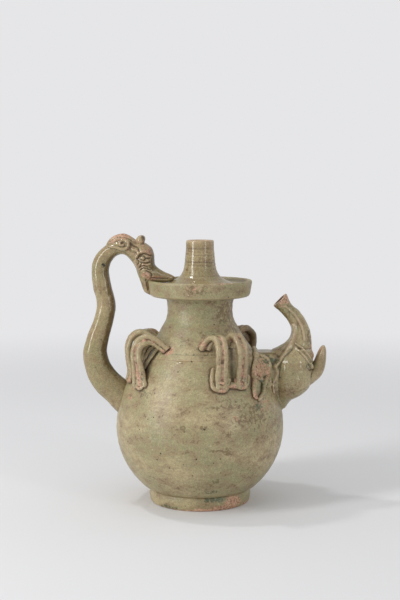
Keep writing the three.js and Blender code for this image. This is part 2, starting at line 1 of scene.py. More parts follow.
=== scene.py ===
import json
import math

import bpy
import numpy as np
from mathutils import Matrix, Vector, noise
from mathutils.bvhtree import BVHTree

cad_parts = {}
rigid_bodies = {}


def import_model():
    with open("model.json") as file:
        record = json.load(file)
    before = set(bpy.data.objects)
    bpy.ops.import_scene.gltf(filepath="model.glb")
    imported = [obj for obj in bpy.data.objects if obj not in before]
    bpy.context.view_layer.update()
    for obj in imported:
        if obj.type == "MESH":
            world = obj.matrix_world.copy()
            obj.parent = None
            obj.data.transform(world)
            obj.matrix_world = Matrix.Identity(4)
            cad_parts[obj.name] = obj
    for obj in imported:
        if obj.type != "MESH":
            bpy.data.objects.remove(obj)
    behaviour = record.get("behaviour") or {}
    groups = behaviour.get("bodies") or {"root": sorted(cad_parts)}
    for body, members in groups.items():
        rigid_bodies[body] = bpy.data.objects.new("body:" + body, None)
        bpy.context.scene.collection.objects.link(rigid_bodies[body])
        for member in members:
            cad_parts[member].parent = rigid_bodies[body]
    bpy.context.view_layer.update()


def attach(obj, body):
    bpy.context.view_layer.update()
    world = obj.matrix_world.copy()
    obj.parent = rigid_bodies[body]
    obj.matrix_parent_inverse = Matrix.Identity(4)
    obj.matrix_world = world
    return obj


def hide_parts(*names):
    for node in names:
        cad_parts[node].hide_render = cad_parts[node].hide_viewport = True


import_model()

# Celadon ewer: thrown globe, neck, dish and tube, dragon handle, elephant spout and coil loops.
# Lengths in the dictionaries are millimetres. The spout points to +X and the side shown is -Y.

mm = 0.001
bpy.context.scene.view_settings.view_transform = "Standard"


# Camera, floor and lamps

cameraSettings = {
    "distance": 1085.0,
    "height": 300.5,
    "pitch": 5.54,
    "lens": 67.8,
    "sensor": 36.0,
}

stageSettings = {
    "floorRadius": 9.0,
    "floorColour": (0.78, 0.78, 0.79, 1),
    "backdropColour": (0.79, 0.79, 0.805, 1),
    "fadeStart": 0.45,
    "fadeEnd": 1.4,
    "skyColour": (0.98, 0.985, 0.99, 1),
    "skyStrength": 0.60,
}

# Each lamp: turn from the camera's side in degrees (left is negative), height above the
# horizon in degrees, distance and size in metres, power in watts
lampSettings = {
    "windowLeft": {"turn": -106, "rise": 66, "far": 1.5, "size": (0.11, 0.11), "power": 3.3},
    "stripLeft": {"turn": -58, "rise": 22, "far": 1.6, "size": (0.26, 1.7), "power": 15.5},
    "stripRight": {"turn": 44, "rise": 14, "far": 1.7, "size": (0.06, 1.4), "power": 4.4},
    "cardRight": {"turn": 118, "rise": 14, "far": 1.3, "size": (0.7, 1.1), "power": 0.8},
}
lampAim = Vector((0, 0, 0.12))


def makeCamera():
    data = bpy.data.cameras.new("photoCamera")
    data.lens = cameraSettings["lens"]
    data.sensor_width = cameraSettings["sensor"]
    camera = bpy.data.objects.new("photoCamera", data)
    bpy.context.collection.objects.link(camera)
    camera.location = (0, -cameraSettings["distance"] * mm, cameraSettings["height"] * mm)
    camera.rotation_euler = (math.radians(90 - cameraSettings["pitch"]), 0, 0)
    bpy.context.scene.camera = camera


def makeLamp(name, turn, rise, far, size, power):
    a, e = math.radians(turn), math.radians(rise)
    back = Vector((math.sin(a) * math.cos(e), -math.cos(a) * math.cos(e), math.sin(e)))
    data = bpy.data.lights.new(name, "AREA")
    data.shape = "RECTANGLE"
    data.size, data.size_y = size
    data.energy = power
    lamp = bpy.data.objects.new(name, data)
    bpy.context.collection.objects.link(lamp)
    lamp.location = lampAim + back * far
    lamp.rotation_euler = (-back).to_track_quat("-Z", "Y").to_euler()


# Shader helpers

def feed(tree, value, socket):
    if isinstance(value, bpy.types.NodeSocket):
        tree.links.new(value, socket)
    else:
        socket.default_value = value


def addNode(tree, kind, inputs=None, **settings):
    made = tree.nodes.new(kind)
    for name, value in settings.items():
        setattr(made, name, value)
    for name, value in (inputs or {}).items():
        feed(tree, value, made.inputs[name])
    return made


def maths(tree, operation, *values, clamp=False):
    made = addNode(tree, "ShaderNodeMath", operation=operation, use_clamp=clamp)
    for socket, value in zip(made.inputs, values):
        feed(tree, value, socket)
    return made.outputs[0]


def times(tree, first, *others):
    for value in others:
        first = maths(tree, "MULTIPLY", first, value)
    return first


def ramp(tree, value, low, high, toLow=0.0, toHigh=1.0):
    made = addNode(
        tree,
        "ShaderNodeMapRange",
        {"Value": value, "From Min": low, "From Max": high, "To Min": toLow, "To Max": toHigh},
        interpolation_type="SMOOTHSTEP",
    )
    return made.outputs["Result"]


def mixColour(tree, mask, first, second, blend="MIX"):
    made = addNode(tree, "ShaderNodeMix", data_type="RGBA", blend_type=blend)
    for index, value in ((0, mask), (6, first), (7, second)):
        feed(tree, value, made.inputs[index])
    return made.outputs[2]


def cloud(tree, place, scale, detail=3.0, rough=0.55):
    values = {"Vector": place, "Scale": scale, "Detail": detail, "Roughness": rough}
    return addNode(tree, "ShaderNodeTexNoise", values).outputs["Fac"]


def cells(tree, place, scale):
    return addNode(tree, "ShaderNodeTexVoronoi", {"Vector": place, "Scale": scale})


def newGroup(name, inputs, outputs):
    tree = bpy.data.node_groups.new(name, "ShaderNodeTree")
    for label, kind, value in inputs:
        socket = tree.interface.new_socket(label, in_out="INPUT", socket_type=kind)
        if value is not None:
            socket.default_value = value
    for label, kind in outputs:
        tree.interface.new_socket(label, in_out="OUTPUT", socket_type=kind)
    return tree, tree.nodes.new("NodeGroupInput"), tree.nodes.new("NodeGroupOutput")


vectorKind = "NodeSocketVector"
floatKind = "NodeSocketFloat"
colourKind = "NodeSocketColor"

glazeColours = {
    "olive": (0.455, 0.372, 0.212, 1),
    "green": (0.315, 0.290, 0.152, 1),
    "tan": (0.370, 0.270, 0.150, 1),
    "brown": (0.250, 0.162, 0.072, 1),
    # a dark brown: brown glaze in places, and painted shade on sides turned from the lamps, under the dish
    # and beside applied pieces
    "brownAndShade": (0.125, 0.074, 0.030, 1),
    "umber": (0.110, 0.072, 0.036, 1),
    # pale dots painted as tiny glints
    "pale": (0.560, 0.490, 0.360, 1),
    "speck": (0.030, 0.022, 0.015, 1),
    "pooled": (0.060, 0.085, 0.045, 1),
    # a pale pink: thin glaze over ridges, and a painted highlight along some strokes of the spout
    "paleRidge": (0.580, 0.410, 0.275, 1),
    # the darkest brown: painted shade for hollows, creases and the gaps where pieces meet
    "creaseShade": (0.060, 0.036, 0.018, 1),
    "clay": (0.500, 0.262, 0.165, 1),
    "clayPale": (0.640, 0.400, 0.280, 1),
    "clayDark": (0.220, 0.120, 0.066, 1),
}


# Small dark specks, brown freckles and pinholes burnt into the glaze, and pale dots painted as tiny glints
def makeSpeckGroup():
    tree, given, out = newGroup(
        "kilnSpecks",
        [("Place", vectorKind, None), ("Amount", floatKind, 1.0)],
        [("Specks", floatKind), ("Freckles", floatKind), ("Glints", floatKind), ("Pits", floatKind)],
    )
    place, amount = given.outputs["Place"], given.outputs["Amount"]
    dots, holes = cells(tree, place, 150), cells(tree, place, 260)
    chance = addNode(tree, "ShaderNodeSeparateColor", {"Color": dots.outputs["Color"]}).outputs
    dot = ramp(tree, dots.outputs["Distance"], 0.13, 0.07)
    freckle = ramp(tree, cloud(tree, place, 620, 2, 0.6), 0.60, 0.72)
    spread = ramp(tree, cloud(tree, place, 70, 3), 0.42, 0.66)
    masks = {
        "Specks": times(tree, dot, ramp(tree, chance[0], 0.72, 0.74)),
        "Freckles": times(tree, freckle, spread),
        "Glints": times(tree, dot, ramp(tree, chance[1], 0.80, 0.82)),
        "Pits": ramp(tree, holes.outputs["Distance"], 0.16, 0.06),
    }
    for name, mask in masks.items():
        feed(tree, times(tree, mask, amount), out.inputs[name])
    return tree


# Olive glaze with green, grey and brown clouds, drawn out sideways by the wheel
def makeGlazeGroup():
    tree, given, out = newGroup(
        "celadonClouds",
        [("Place", vectorKind, None), ("Warmth", floatKind, 0.3), ("Mottle", floatKind, 1.0)],
        [("Colour", colourKind), ("Height", floatKind)],
    )
    place = given.outputs["Place"]
    warmth, mottle = given.outputs["Warmth"], given.outputs["Mottle"]
    flat = addNode(tree, "ShaderNodeMapping", {"Vector": place, "Scale": (1, 1, 1.7)}).outputs[0]
    broad = cloud(tree, flat, 16, 3)
    middle = cloud(tree, flat, 75, 4, 0.66)
    fine = cloud(tree, place, 430, 4, 0.74)
    grain = cloud(tree, place, 1050, 3, 0.66)
    base = mixColour(tree, ramp(tree, broad, 0.34, 0.66), glazeColours["olive"], glazeColours["green"])
    base = mixColour(tree, times(tree, ramp(tree, middle, 0.42, 0.66), 0.8), base, glazeColours["tan"])
    base = mixColour(tree, warmth, base, glazeColours["brown"])
    patch = times(tree, ramp(tree, middle, 0.47, 0.68), ramp(tree, fine, 0.45, 0.60))
    patch = maths(tree, "MULTIPLY", patch, mottle, clamp=True)
    base = mixColour(tree, times(tree, patch, 0.8), base, glazeColours["umber"])
    mealy = ramp(tree, fine, 0.36, 0.66, 0.84, 1.12)
    mealy = times(tree, mealy, ramp(tree, grain, 0.32, 0.68, 0.80, 1.16))
    shade = addNode(tree, "ShaderNodeCombineColor", {"Red": mealy, "Green": mealy, "Blue": mealy})
    feed(tree, mixColour(tree, 1.0, base, shade.outputs[0], "MULTIPLY"), out.inputs["Colour"])
    feed(tree, maths(tree, "ADD", times(tree, fine, 0.5), times(tree, middle, 1.2)), out.inputs["Height"])
    return tree


# A painted mask broken up along its edge
def makeWornGroup():
    tree, given, out = newGroup(
        "brokenEdge",
        [("Place", vectorKind, None), ("Mask", floatKind, 0.0), ("Scale", floatKind, 300.0)],
        [("Mask", floatKind)],
    )
    place, mask = given.outputs["Place"], given.outputs["Mask"]
    coarse = cloud(tree, place, given.outputs["Scale"], 4, 0.65)
    worn = times(tree, maths(tree, "SUBTRACT", coarse, 0.5), 1.9)
    shifted = maths(tree, "ADD", times(tree, mask, 0.85), worn)
    kept = times(tree, ramp(tree, shifted, 0.27, 0.60), ramp(tree, mask, 0.02, 0.2))
    feed(tree, kept, out.inputs["Mask"])
    return tree


# Black flecks of iron where the photo shows them, and a few on the far side: centre and radius
fleckPlaces = [
    ((-52, -51, 106.9), 0.8), ((-42.4, -66, 93.5), 0.7), ((-56, -58.5, 80.6), 0.7),
    ((-39.5, -68, 54.6), 0.7), ((-35.9, -71.3, 61.4), 0.7), ((-15, -76, 52), 0.6),
    ((-3.2, -79.3, 57.7), 0.6), ((3.9, -80.4, 85.5), 0.8), ((1.1, -71.2, 118.2), 0.6),
    ((-92.8, -8.5, 230.2), 1.3), ((-91.5, -8.8, 229.4), 1.5), ((-90.2, -8.8, 228.4), 1.5),
    ((-7.6, -54.2, 143.9), 1.1), ((28, 75, 66), 0.7), ((-34, 73, 88), 0.6), ((8, 76, 106), 0.7),
    ((-60, 54, 74), 0.6), ((62, 50, 88), 0.6),
]


def makeFleckGroup():
    tree, given, out = newGroup("ironFlecks", [("Place", vectorKind, None)], [("Mask", floatKind)])
    place = given.outputs["Place"]
    # The noise averages a half, so doubled it makes the edge wander about the radius
    wander = times(tree, cloud(tree, place, 900, 2), 2.0)
    total = 0.0
    for centre, radius in fleckPlaces:
        ends = {0: place, 1: [c * mm for c in centre]}
        away = addNode(tree, "ShaderNodeVectorMath", ends, operation="DISTANCE").outputs["Value"]
        spot = maths(tree, "LESS_THAN", away, times(tree, wander, radius * mm))
        total = maths(tree, "MAXIMUM", total, spot)
    feed(tree, total, out.inputs["Mask"])
    return tree


def addGroup(tree, group, inputs):
    made = tree.nodes.new("ShaderNodeGroup")
    made.node_tree = group
    for name, value in inputs.items():
        feed(tree, value, made.inputs[name])
    return made


speckGroup = makeSpeckGroup()
glazeGroup = makeGlazeGroup()
wornGroup = makeWornGroup()
fleckGroup = makeFleckGroup()


# An empty node tree for a material or the world
def emptyTree(owner):
    owner.use_nodes = True
    owner.node_tree.nodes.clear()
    return owner.node_tree


# How fine the broken edge of each worn mask is
wornScales = {"pool": 420, "bare": 300, "brownAndShade": 330}


def makeGlaze(name, warmth, mottle, specks, gloss, relief):
    material = bpy.data.materials.new(name)
    tree = emptyTree(material)
    place = addNode(tree, "ShaderNodeTexCoord").outputs["Object"]
    mask = {}
    for painted in ("pool", "bare", "hollow", "ridge", "brownAndShade", "wet"):
        mask[painted] = addNode(tree, "ShaderNodeAttribute", attribute_name=painted).outputs["Fac"]
    for painted, scale in wornScales.items():
        worn = addGroup(tree, wornGroup, {"Place": place, "Mask": mask[painted], "Scale": scale})
        mask[painted] = worn.outputs["Mask"]
    clouds = addGroup(tree, glazeGroup, {"Place": place, "Warmth": warmth, "Mottle": mottle}).outputs
    dots = addGroup(tree, speckGroup, {"Place": place, "Amount": specks}).outputs
    flecks = addGroup(tree, fleckGroup, {"Place": place}).outputs

    grain, smoke = cloud(tree, place, 420, 3), cloud(tree, place, 640, 4)
    clay = mixColour(tree, ramp(tree, grain, 0.35, 0.65), glazeColours["clay"], glazeColours["clayPale"])
    clay = mixColour(tree, ramp(tree, smoke, 0.48, 0.64), clay, glazeColours["clayDark"])

    # What lies over the clouds, from the first layer to the last: mask, strength and colour
    layers = [
        # The dark brown layer is brown glaze and also painted shade, the pale dots are painted glints, the
        # pale ridge layer is thin glaze and, along some strokes, a painted highlight, and the darkest layer
        # is painted shade in hollows
        (mask["brownAndShade"], 0.66, glazeColours["brownAndShade"]),
        (dots["Freckles"], 0.55, glazeColours["umber"]),
        (dots["Glints"], 0.6, glazeColours["pale"]),
        (dots["Specks"], 1.0, glazeColours["speck"]),
        (mask["ridge"], 0.55, glazeColours["paleRidge"]),
        (mask["pool"], 0.8, glazeColours["pooled"]),
        (mask["bare"], 0.84, clay),
        (mask["hollow"], 0.82, glazeColours["creaseShade"]),
        (flecks["Mask"], 1.0, glazeColours["speck"]),
    ]
    colour = clouds["Colour"]
    for layer, strength, tint in layers:
        colour = mixColour(tree, times(tree, layer, strength), colour, tint)

    height = maths(tree, "SUBTRACT", clouds["Height"], times(tree, dots["Pits"], 0.5))
    height = maths(tree, "SUBTRACT", height, times(tree, mask["bare"], 0.4))
    bump = addNode(tree, "ShaderNodeBump", {"Strength": relief, "Distance": 0.0006, "Height": height})
    rough = ramp(tree, cloud(tree, place, 110, 4), 0.3, 0.7, gloss, gloss + 0.12)
    rough = times(tree, rough, maths(tree, "SUBTRACT", 1.0, times(tree, mask["wet"], 0.7)))
    rough = maths(tree, "ADD", rough, times(tree, mask["bare"], 0.35), clamp=True)
    shader = addNode(
        tree,
        "ShaderNodeBsdfPrincipled",
        {"Base Color": colour, "Roughness": rough, "IOR": 1.5, "Normal": bump.outputs["Normal"]},
    )
    addNode(tree, "ShaderNodeOutputMaterial", {"Surface": shader.outputs[0]})
    return material


def makeFloorMaterial():
    s = stageSettings
    material = bpy.data.materials.new("palePaper")
    tree = emptyTree(material)
    place = addNode(tree, "ShaderNodeTexCoord").outputs["Object"]
    far = addNode(tree, "ShaderNodeVectorMath", {0: place}, operation="LENGTH").outputs["Value"]
    paper = addNode(tree, "ShaderNodeBsdfDiffuse", {"Color": s["floorColour"]})
    haze = addNode(tree, "ShaderNodeEmission", {"Color": s["backdropColour"]})
    seen = addNode(tree, "ShaderNodeLightPath").outputs["Is Camera Ray"]
    mask = times(tree, ramp(tree, far, s["fadeStart"], s["fadeEnd"]), seen)
    mixed = addNode(tree, "ShaderNodeMixShader", {0: mask, 1: paper.outputs[0], 2: haze.outputs[0]})
    addNode(tree, "ShaderNodeOutputMaterial", {"Surface": mixed.outputs[0]})
    return material


def makeWorld():
    s = stageSettings
    world = bpy.data.worlds.new("studioAir")
    bpy.context.scene.world = world
    tree = emptyTree(world)
    sky = addNode(tree, "ShaderNodeBackground", {"Color": s["skyColour"], "Strength": s["skyStrength"]})
    backdrop = addNode(tree, "ShaderNodeBackground", {"Color": s["backdropColour"]})
    seen = addNode(tree, "ShaderNodeLightPath").outputs["Is Camera Ray"]
    mixed = addNode(tree, "ShaderNodeMixShader", {0: seen, 1: sky.outputs[0], 2: backdrop.outputs[0]})
    addNode(tree, "ShaderNodeOutputWorld", {"Surface": mixed.outputs[0]})


def makeFloor():
    deselect()
    bpy.ops.mesh.primitive_circle_add(
        vertices=96, radius=stageSettings["floorRadius"], fill_type="NGON", location=(0, 0, 0)
    )
    floor = bpy.context.object
    floor.name = "paperFloor"
    floor.data.materials.append(makeFloorMaterial())


# Modelling helpers

def deselect():
    if bpy.context.object and bpy.context.object.mode != "OBJECT":
        bpy.ops.object.mode_set(mode="OBJECT")
    bpy.ops.object.select_all(action="DESELECT")


def choose(*objects):
    deselect()
    for o in objects:
        o.select_set(True)
    bpy.context.view_layer.objects.active = objects[0]


def smoothLine(points, count):
    # Catmull-Rom curve through the points, at even steps along the list
    p = np.array(points, float)
    last = len(p) - 1
    line = []
    for t in np.linspace(0, last, count):
        i = min(int(t), last - 1)
        f = t - i
        a, b, c, d = (p[max(min(k, last), 0)] for k in (i - 1, i, i + 1, i + 2))
        line.append(
            0.5 * (2 * b + (c - a) * f + (2 * a - 5 * b + 4 * c - d) * f**2
                   + (3 * b - a - 3 * c + d) * f**3)
        )
    return np.array(line)


def applyModifier(piece, kind, **settings):
    choose(piece)
    modifier = piece.modifiers.new(kind.title(), kind)
    for name, value in settings.items():
        setattr(modifier, name, value)
    bpy.ops.object.modifier_apply(modifier=modifier.name)


def rowsOf(items, name):
    # Three numbers for each vertex or face
    flat = np.empty(len(items) * 3)
    items.foreach_get(name, flat)
    return flat.reshape(-1, 3)


def coordsOf(piece):
    return rowsOf(piece.data.vertices, "co") / mm


def normalsOf(piece):
    return rowsOf(piece.data.vertices, "normal")


def setCoords(piece, coords):
    piece.data.vertices.foreach_set("co", (coords * mm).ravel())
    piece.data.update()


def unit(vectors):
    return vectors / np.linalg.norm(vectors, axis=-1, keepdims=True)


# Clay drawn out: a circle is raised into as many rings as are given, each ring is pushed to
# its place and both ends are closed
def drawClay(name, rings, rounding=0):
    rings = np.array(rings)
    deselect()
    bpy.ops.mesh.primitive_circle_add(vertices=rings.shape[1], radius=mm)
    piece = bpy.context.object
    piece.name = piece.data.name = name
    steps = len(rings) - 1
    applyModifier(
        piece, "SCREW", angle=0, screw_offset=steps * mm, steps=steps, render_steps=steps
    )
    setCoords(piece, rings.reshape(-1, 3))
    bpy.ops.object.mode_set(mode="EDIT")
    bpy.ops.mesh.select_all(action="SELECT")
    bpy.ops.mesh.remove_doubles(threshold=0.002 * mm)
    bpy.ops.object.mode_set(mode="OBJECT")
    if rounding:
        applyModifier(piece, "SUBSURF", levels=rounding, render_levels=rounding)
    bpy.ops.object.mode_set(mode="EDIT")
    bpy.ops.mesh.select_all(action="SELECT")
    bpy.ops.mesh.fill_holes(sides=0)
    bpy.ops.mesh.select_all(action="SELECT")
    bpy.ops.mesh.normals_make_consistent(inside=False)
    bpy.ops.object.mode_set(mode="OBJECT")
    return piece


# A pot on the wheel: every station of the profile becomes a ring round the axis
def throwOnWheel(name, profile):
    sides = potSettings["sides"]
    angle = np.linspace(0, 2 * math.pi, sides, endpoint=False)
    ring = np.column_stack((np.cos(angle), np.sin(angle), np.zeros(sides)))
    pot = drawClay(name, [ring * r + (0, 0, z) for r, z in profile], 1)
    bpy.ops.object.shade_smooth()
    return pot


# Rings between two edges drawn in the plane of handle and spout, with widths across it. A
# section is an ellipse at boxy 2 and squarer above; grow is added all round.
def edgeRings(outer, inner, widths, count, sides=40, boxy=2.0, grow=0.0):
    left, right = smoothLine(outer, count), smoothLine(inner, count)
    wide = smoothLine([(w, 0) for w in widths], count)[:, 0] / 2 + grow
    angle = np.linspace(0, 2 * math.pi, sides, endpoint=False)
    across = np.sign(np.cos(angle)) * np.abs(np.cos(angle)) ** (2 / boxy)
    along = np.sign(np.sin(angle)) * np.abs(np.sin(angle)) ** (2 / boxy)
    rings = []
    for a, b, w in zip(left, right, wide):
        middle, reach = (a + b) / 2, (a - b) / 2
        reach = reach * (1 + grow / np.linalg.norm(reach))
        rings.append(
            np.column_stack((middle[0] + reach[0] * along, w * across, middle[1] + reach[1] * along))
        )
    return rings


# A coil of clay along a path, with rounded ends
def rollCoil(name, path, radius, sides=14, cut=False):
    path = np.array(path, float)
    ahead = unit(np.gradient(path, axis=0))
    length = np.append(0, np.cumsum(np.linalg.norm(np.diff(path, axis=0), axis=1)))
    even = np.linspace(0, 1, len(path))
    radius = np.interp(even, np.linspace(0, 1, np.size(radius)), np.atleast_1d(radius))
    end = (length[-1] - length if cut else np.minimum(length, length[-1] - length)) / radius
    radius = radius * np.sqrt(np.clip(1 - np.clip(1 - end, 0, 1) ** 2, 0.01, 1))
    angle = np.linspace(0, 2 * math.pi, sides, endpoint=False)
    side = np.cross(ahead[0], (0.31, 0.72, 0.62))
    rings = []
    for point, forward, r in zip(path, ahead, radius):
        side = unit(side - forward * side.dot(forward))
        up = np.cross(forward, side)
        rings.append(point + r * (np.outer(np.cos(angle), side) + np.outer(np.sin(angle), up)))
    return drawClay(name, rings)


# A flat strip of clay along a path, as wide as twice half in the direction across
def rollStrip(name, path, across, half, thick, sides=20):
    path = np.array(path, float)
    ahead = unit(np.gradient(path, axis=0))
    across = unit(across - ahead * np.sum(across * ahead, axis=1, keepdims=True))
    out = np.cross(ahead, across)
    angle = np.linspace(0, 2 * math.pi, sides, endpoint=False)
    rings = [
        p + np.outer(np.cos(angle) * h, a) + np.outer(np.sin(angle) * t, o)
        for p, a, o, h, t in zip(path, across, out, half, thick)
    ]
    return drawClay(name, rings)


def pressBall(name, centre, radii, turn=0.0):
    deselect()
    bpy.ops.mesh.primitive_uv_sphere_add(
        segments=24, ring_count=14, radius=mm, location=np.array(centre) * mm,
        rotation=(0, math.radians(turn), 0), scale=radii,
    )
    ball = bpy.context.object
    ball.name = ball.data.name = name
    bpy.ops.object.transform_apply(location=True, rotation=True, scale=True)
    return ball


# Pieces pressed together into one body of clay, with the joins worked smooth
def workTogether(name, parts, voxel, smoothing):
    choose(*parts)
    if len(parts) > 1:
        bpy.ops.object.join()
    piece = bpy.context.object
    piece.name = piece.data.name = name
    applyModifier(piece, "REMESH", mode="VOXEL", voxel_size=voxel * mm)
    top = int(np.argmax(coordsOf(piece)[:, 2]))
    bpy.ops.object.mode_set(mode="EDIT")
    bpy.ops.mesh.select_all(action="DESELECT")
    bpy.ops.object.mode_set(mode="OBJECT")
    piece.data.vertices[top].select = True
    bpy.ops.object.mode_set(mode="EDIT")
    bpy.ops.mesh.select_mode(type="VERT")
    bpy.ops.mesh.select_linked()
    bpy.ops.mesh.select_all(action="INVERT")
    bpy.ops.mesh.delete(type="VERT")
    bpy.ops.object.mode_set(mode="OBJECT")
    applyModifier(piece, "SMOOTH", factor=0.5, iterations=smoothing)
    bpy.ops.object.shade_smooth()
    return piece


def treeOf(*pieces):
    # One search tree over the faces of several pieces, in millimetres
    vertices, faces = [], []
    for piece in pieces:
        first = len(vertices)
        vertices += [Vector(c) for c in coordsOf(piece)]
        faces += [[first + i for i in face.vertices] for face in piece.data.polygons]
    return BVHTree.FromPolygons(vertices, faces)


def layOn(tree, line, count, lift=0.0, side=-1):
    # Carries a line drawn in the XZ plane across onto the surface that faces one side
    path = []
    for x, z in smoothLine(line, count):
        hit, normal, _, _ = tree.ray_cast(Vector((x, side * 200, z)), Vector((0, -side, 0)))
        if hit is not None:
            path.append(np.array(hit + normal * lift))
    return np.array(path)


def lineDistance(points, line):
    best = np.full(len(points), 1e9)
    for a, b in zip(line, line[1:]):
        step = b - a
        share = np.clip((points - a) @ step / step.dot(step), 0, 1)
        best = np.minimum(best, np.linalg.norm(points - a - np.outer(share, step), axis=1))
    return best


def pressStrokes(piece, strokes):
    # Lines drawn on both flanks: each is a row of points, a half width and a height
    coords, normals = coordsOf(piece), normalsOf(piece)
    flat = coords[:, [0, 2]]
    facing = np.clip((np.abs(normals[:, 1]) - 0.12) / 0.35, 0, 1)
    lift = np.zeros(len(coords))
    for line, width, height in strokes:
        away = lineDistance(flat, smoothLine(line, 20))
        lift += 1.25 * height * np.exp(-((away / width) ** 2))
    setCoords(piece, coords + normals * (lift * facing)[:, None])


def handMarks(piece, reach, depth, seed):
    # Soft dents that fingers leave in the clay
    coords, normals = coordsOf(piece), normalsOf(piece)
    shift = Vector((seed * 7.3, seed * 3.1, seed * 5.7))
    dent = np.array([noise.noise(Vector(c) / reach + shift) for c in coords])
    setCoords(piece, coords + normals * (depth * dent)[:, None])


def paint(piece, name, values):
    # Adds to a painted mask, keeping the stronger of the old and the new value
    mask = piece.data.attributes.get(name)
    if mask is None:
        mask = piece.data.attributes.new(name, "FLOAT", "POINT")
    old = np.zeros(len(piece.data.vertices), dtype=np.float32)
    mask.data.foreach_get("value", old)
    mask.data.foreach_set("value", np.maximum(old, np.clip(values, 0, 1)).astype(np.float32))


def paintMarks(piece, marks):
    # The strength falls off evenly from 0.6 of the radii out to 1.6 of them
    coords = coordsOf(piece)
    for name, spots in marks.items():
        for centre, radii, strength in spots:
            reach = np.linalg.norm((coords - np.array(centre)) / np.array(radii), axis=1)
            paint(piece, name, strength * np.clip(1.6 - reach, 0, 1))


def paintLine(piece, name, line, width, strength):
    away = lineDistance(coordsOf(piece), np.array(line))
    paint(piece, name, strength * np.clip(1.5 - away / width, 0, 1))


def paintFacing(piece, name, direction, low, high, strength):
    # Stronger the more the surface turns to one side
    turned = normalsOf(piece) @ unit(np.array(direction, float))
    paint(piece, name, strength * np.clip((turned - low) / (high - low), 0, 1))


def markCreases(piece, rounds=9, paleRidge=1.0):
    # Darkens hollows with painted shade, where glaze also gathers, and pales ridges where the glaze runs thin
    coords, normals = coordsOf(piece), normalsOf(piece)
    edges = np.empty(len(piece.data.edges) * 2, dtype=np.int64)
    piece.data.edges.foreach_get("vertices", edges)
    a, b = edges.reshape(-1, 2).T
    count = len(coords)
    number = (np.bincount(a, minlength=count) + np.bincount(b, minlength=count))[:, None]
    soft = coords.copy()
    for _ in range(rounds):
        total = np.column_stack([
            np.bincount(a, soft[b, k], count) + np.bincount(b, soft[a, k], count) for k in range(3)
        ])
        soft = 0.5 * soft + 0.5 * total / number
    depth = np.sum((soft - coords) * normals, axis=1)
    paint(piece, "hollow", (depth - 0.025) / 0.11)
    paint(piece, "ridge", paleRidge * (-depth - 0.05) / 0.14)


def turnMarks(piece, wobble, ridge, pitch, seed):
    # The slightly uneven round and the faint spiral that fingers leave on the wheel
    coords = coordsOf(piece)
    radius = np.hypot(coords[:, 0], coords[:, 1])
    angle = np.arctan2(coords[:, 1], coords[:, 0])
    soft = [
        noise.noise(Vector((math.cos(a) * 1.2 + seed, math.sin(a) * 1.2, z / 60)))
        for a, z in zip(angle, coords[:, 2])
    ]
    wave = np.sin(coords[:, 2] * 2 * math.pi / pitch + angle + seed)
    grown = radius + wobble * np.array(soft) + ridge * wave * (radius > 8)
    scale = grown / np.maximum(radius, 0.01)
    coords[:, 0] *= scale
    coords[:, 1] *= scale
    setCoords(piece, coords)


def finishPiece(piece, material, slotName, *nodes):
    piece.data.materials.clear()
    piece.data.materials.append(material)
    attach(piece, "root")
    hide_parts(*nodes)


glazeBody = makeGlaze("celadonGlaze", warmth=0.05, mottle=1.0, specks=1.0, gloss=0.36, relief=0.34)
glazeCoil = makeGlaze("celadonCoilGlaze", warmth=0.08, mottle=0.7, specks=0.6, gloss=0.11, relief=0.16)
glazeWarm = makeGlaze("brownedGlaze", warmth=0.30, mottle=0.7, specks=0.8, gloss=0.08, relief=0.12)


# Thrown pieces: foot, globe, neck, dish and tube

potSettings = {
    "sides": 144,
    "footRadius": 49.5,
    "footHeight": 13.2,
    "bellyRadius": 81.1,
    "bellyHeight": 74.0,
    "bellyDepth": 78.4,
    "bellyInside": 72.0,
    "bodyWall": 6.0,
    "neckWall": 5.0,
    "seamRadius": 54.7,
    "seamHeight": 143.6,
    "neckTop": 197.6,
    "dishRadius": 50.1,
    "dishRim": 214.8,
    "tubeRadius": 13.4,
    "tubeTop": 253.2,
}


def groove(profile, height, depth, width):
    # Presses a turned line into a profile that runs up the outside
    return [
        (r - depth * math.exp(-(((z - height) / width) ** 2)), z) for r, z in profile
    ]


def shoulderLine(count):
    s = potSettings
    belly, mid, rise = s["bellyRadius"], s["bellyHeight"], s["seamHeight"] - s["bellyHeight"]
    return smoothLine(
        [
            (belly, mid),
            (belly * 0.982, mid + rise * 0.22),
            (belly * 0.902, mid + rise * 0.537),
            (belly * 0.76, mid + rise * 0.833),
            (s["seamRadius"], s["seamHeight"]),
        ],
        count,
    )


def neckLine(count):
    s = potSettings
    return smoothLine(
        [
            (s["seamRadius"] - 0.2, s["seamHeight"] - 0.3),
            (47.8, 152.4), (44.2, 157.4), (40.3, 163.2), (36.7, 169.9), (34.3, 173.8),
            (32.6, 177.6), (31.7, 181.4), (31.3, 185.3), (31.4, 189.1), (31.9, 194.4),
            (33.6, s["neckTop"] + 0.4),
        ],
        count,
    )


def globeLine(count):
    s = potSettings
    low = -math.asin((s["bellyHeight"] - s["footHeight"] - 2.6) / s["bellyDepth"])
    return [
        (s["bellyRadius"] * math.cos(a), s["bellyHeight"] + s["bellyDepth"] * math.sin(a))
        for a in np.linspace(low, 0, count)
    ]


wallLine = np.vstack((globeLine(30), shoulderLine(30), neckLine(40)))


def wallRadius(height):
    return np.interp(height, wallLine[:, 1], wallLine[:, 0])


# Marks, here and below, are the places on a piece that are bare, pooled, darkened by painted shade in a
# hollow, browned (in some places by brown glaze, in others by painted shade) or wet: centre, radii along X, Y
# and Z, and strength

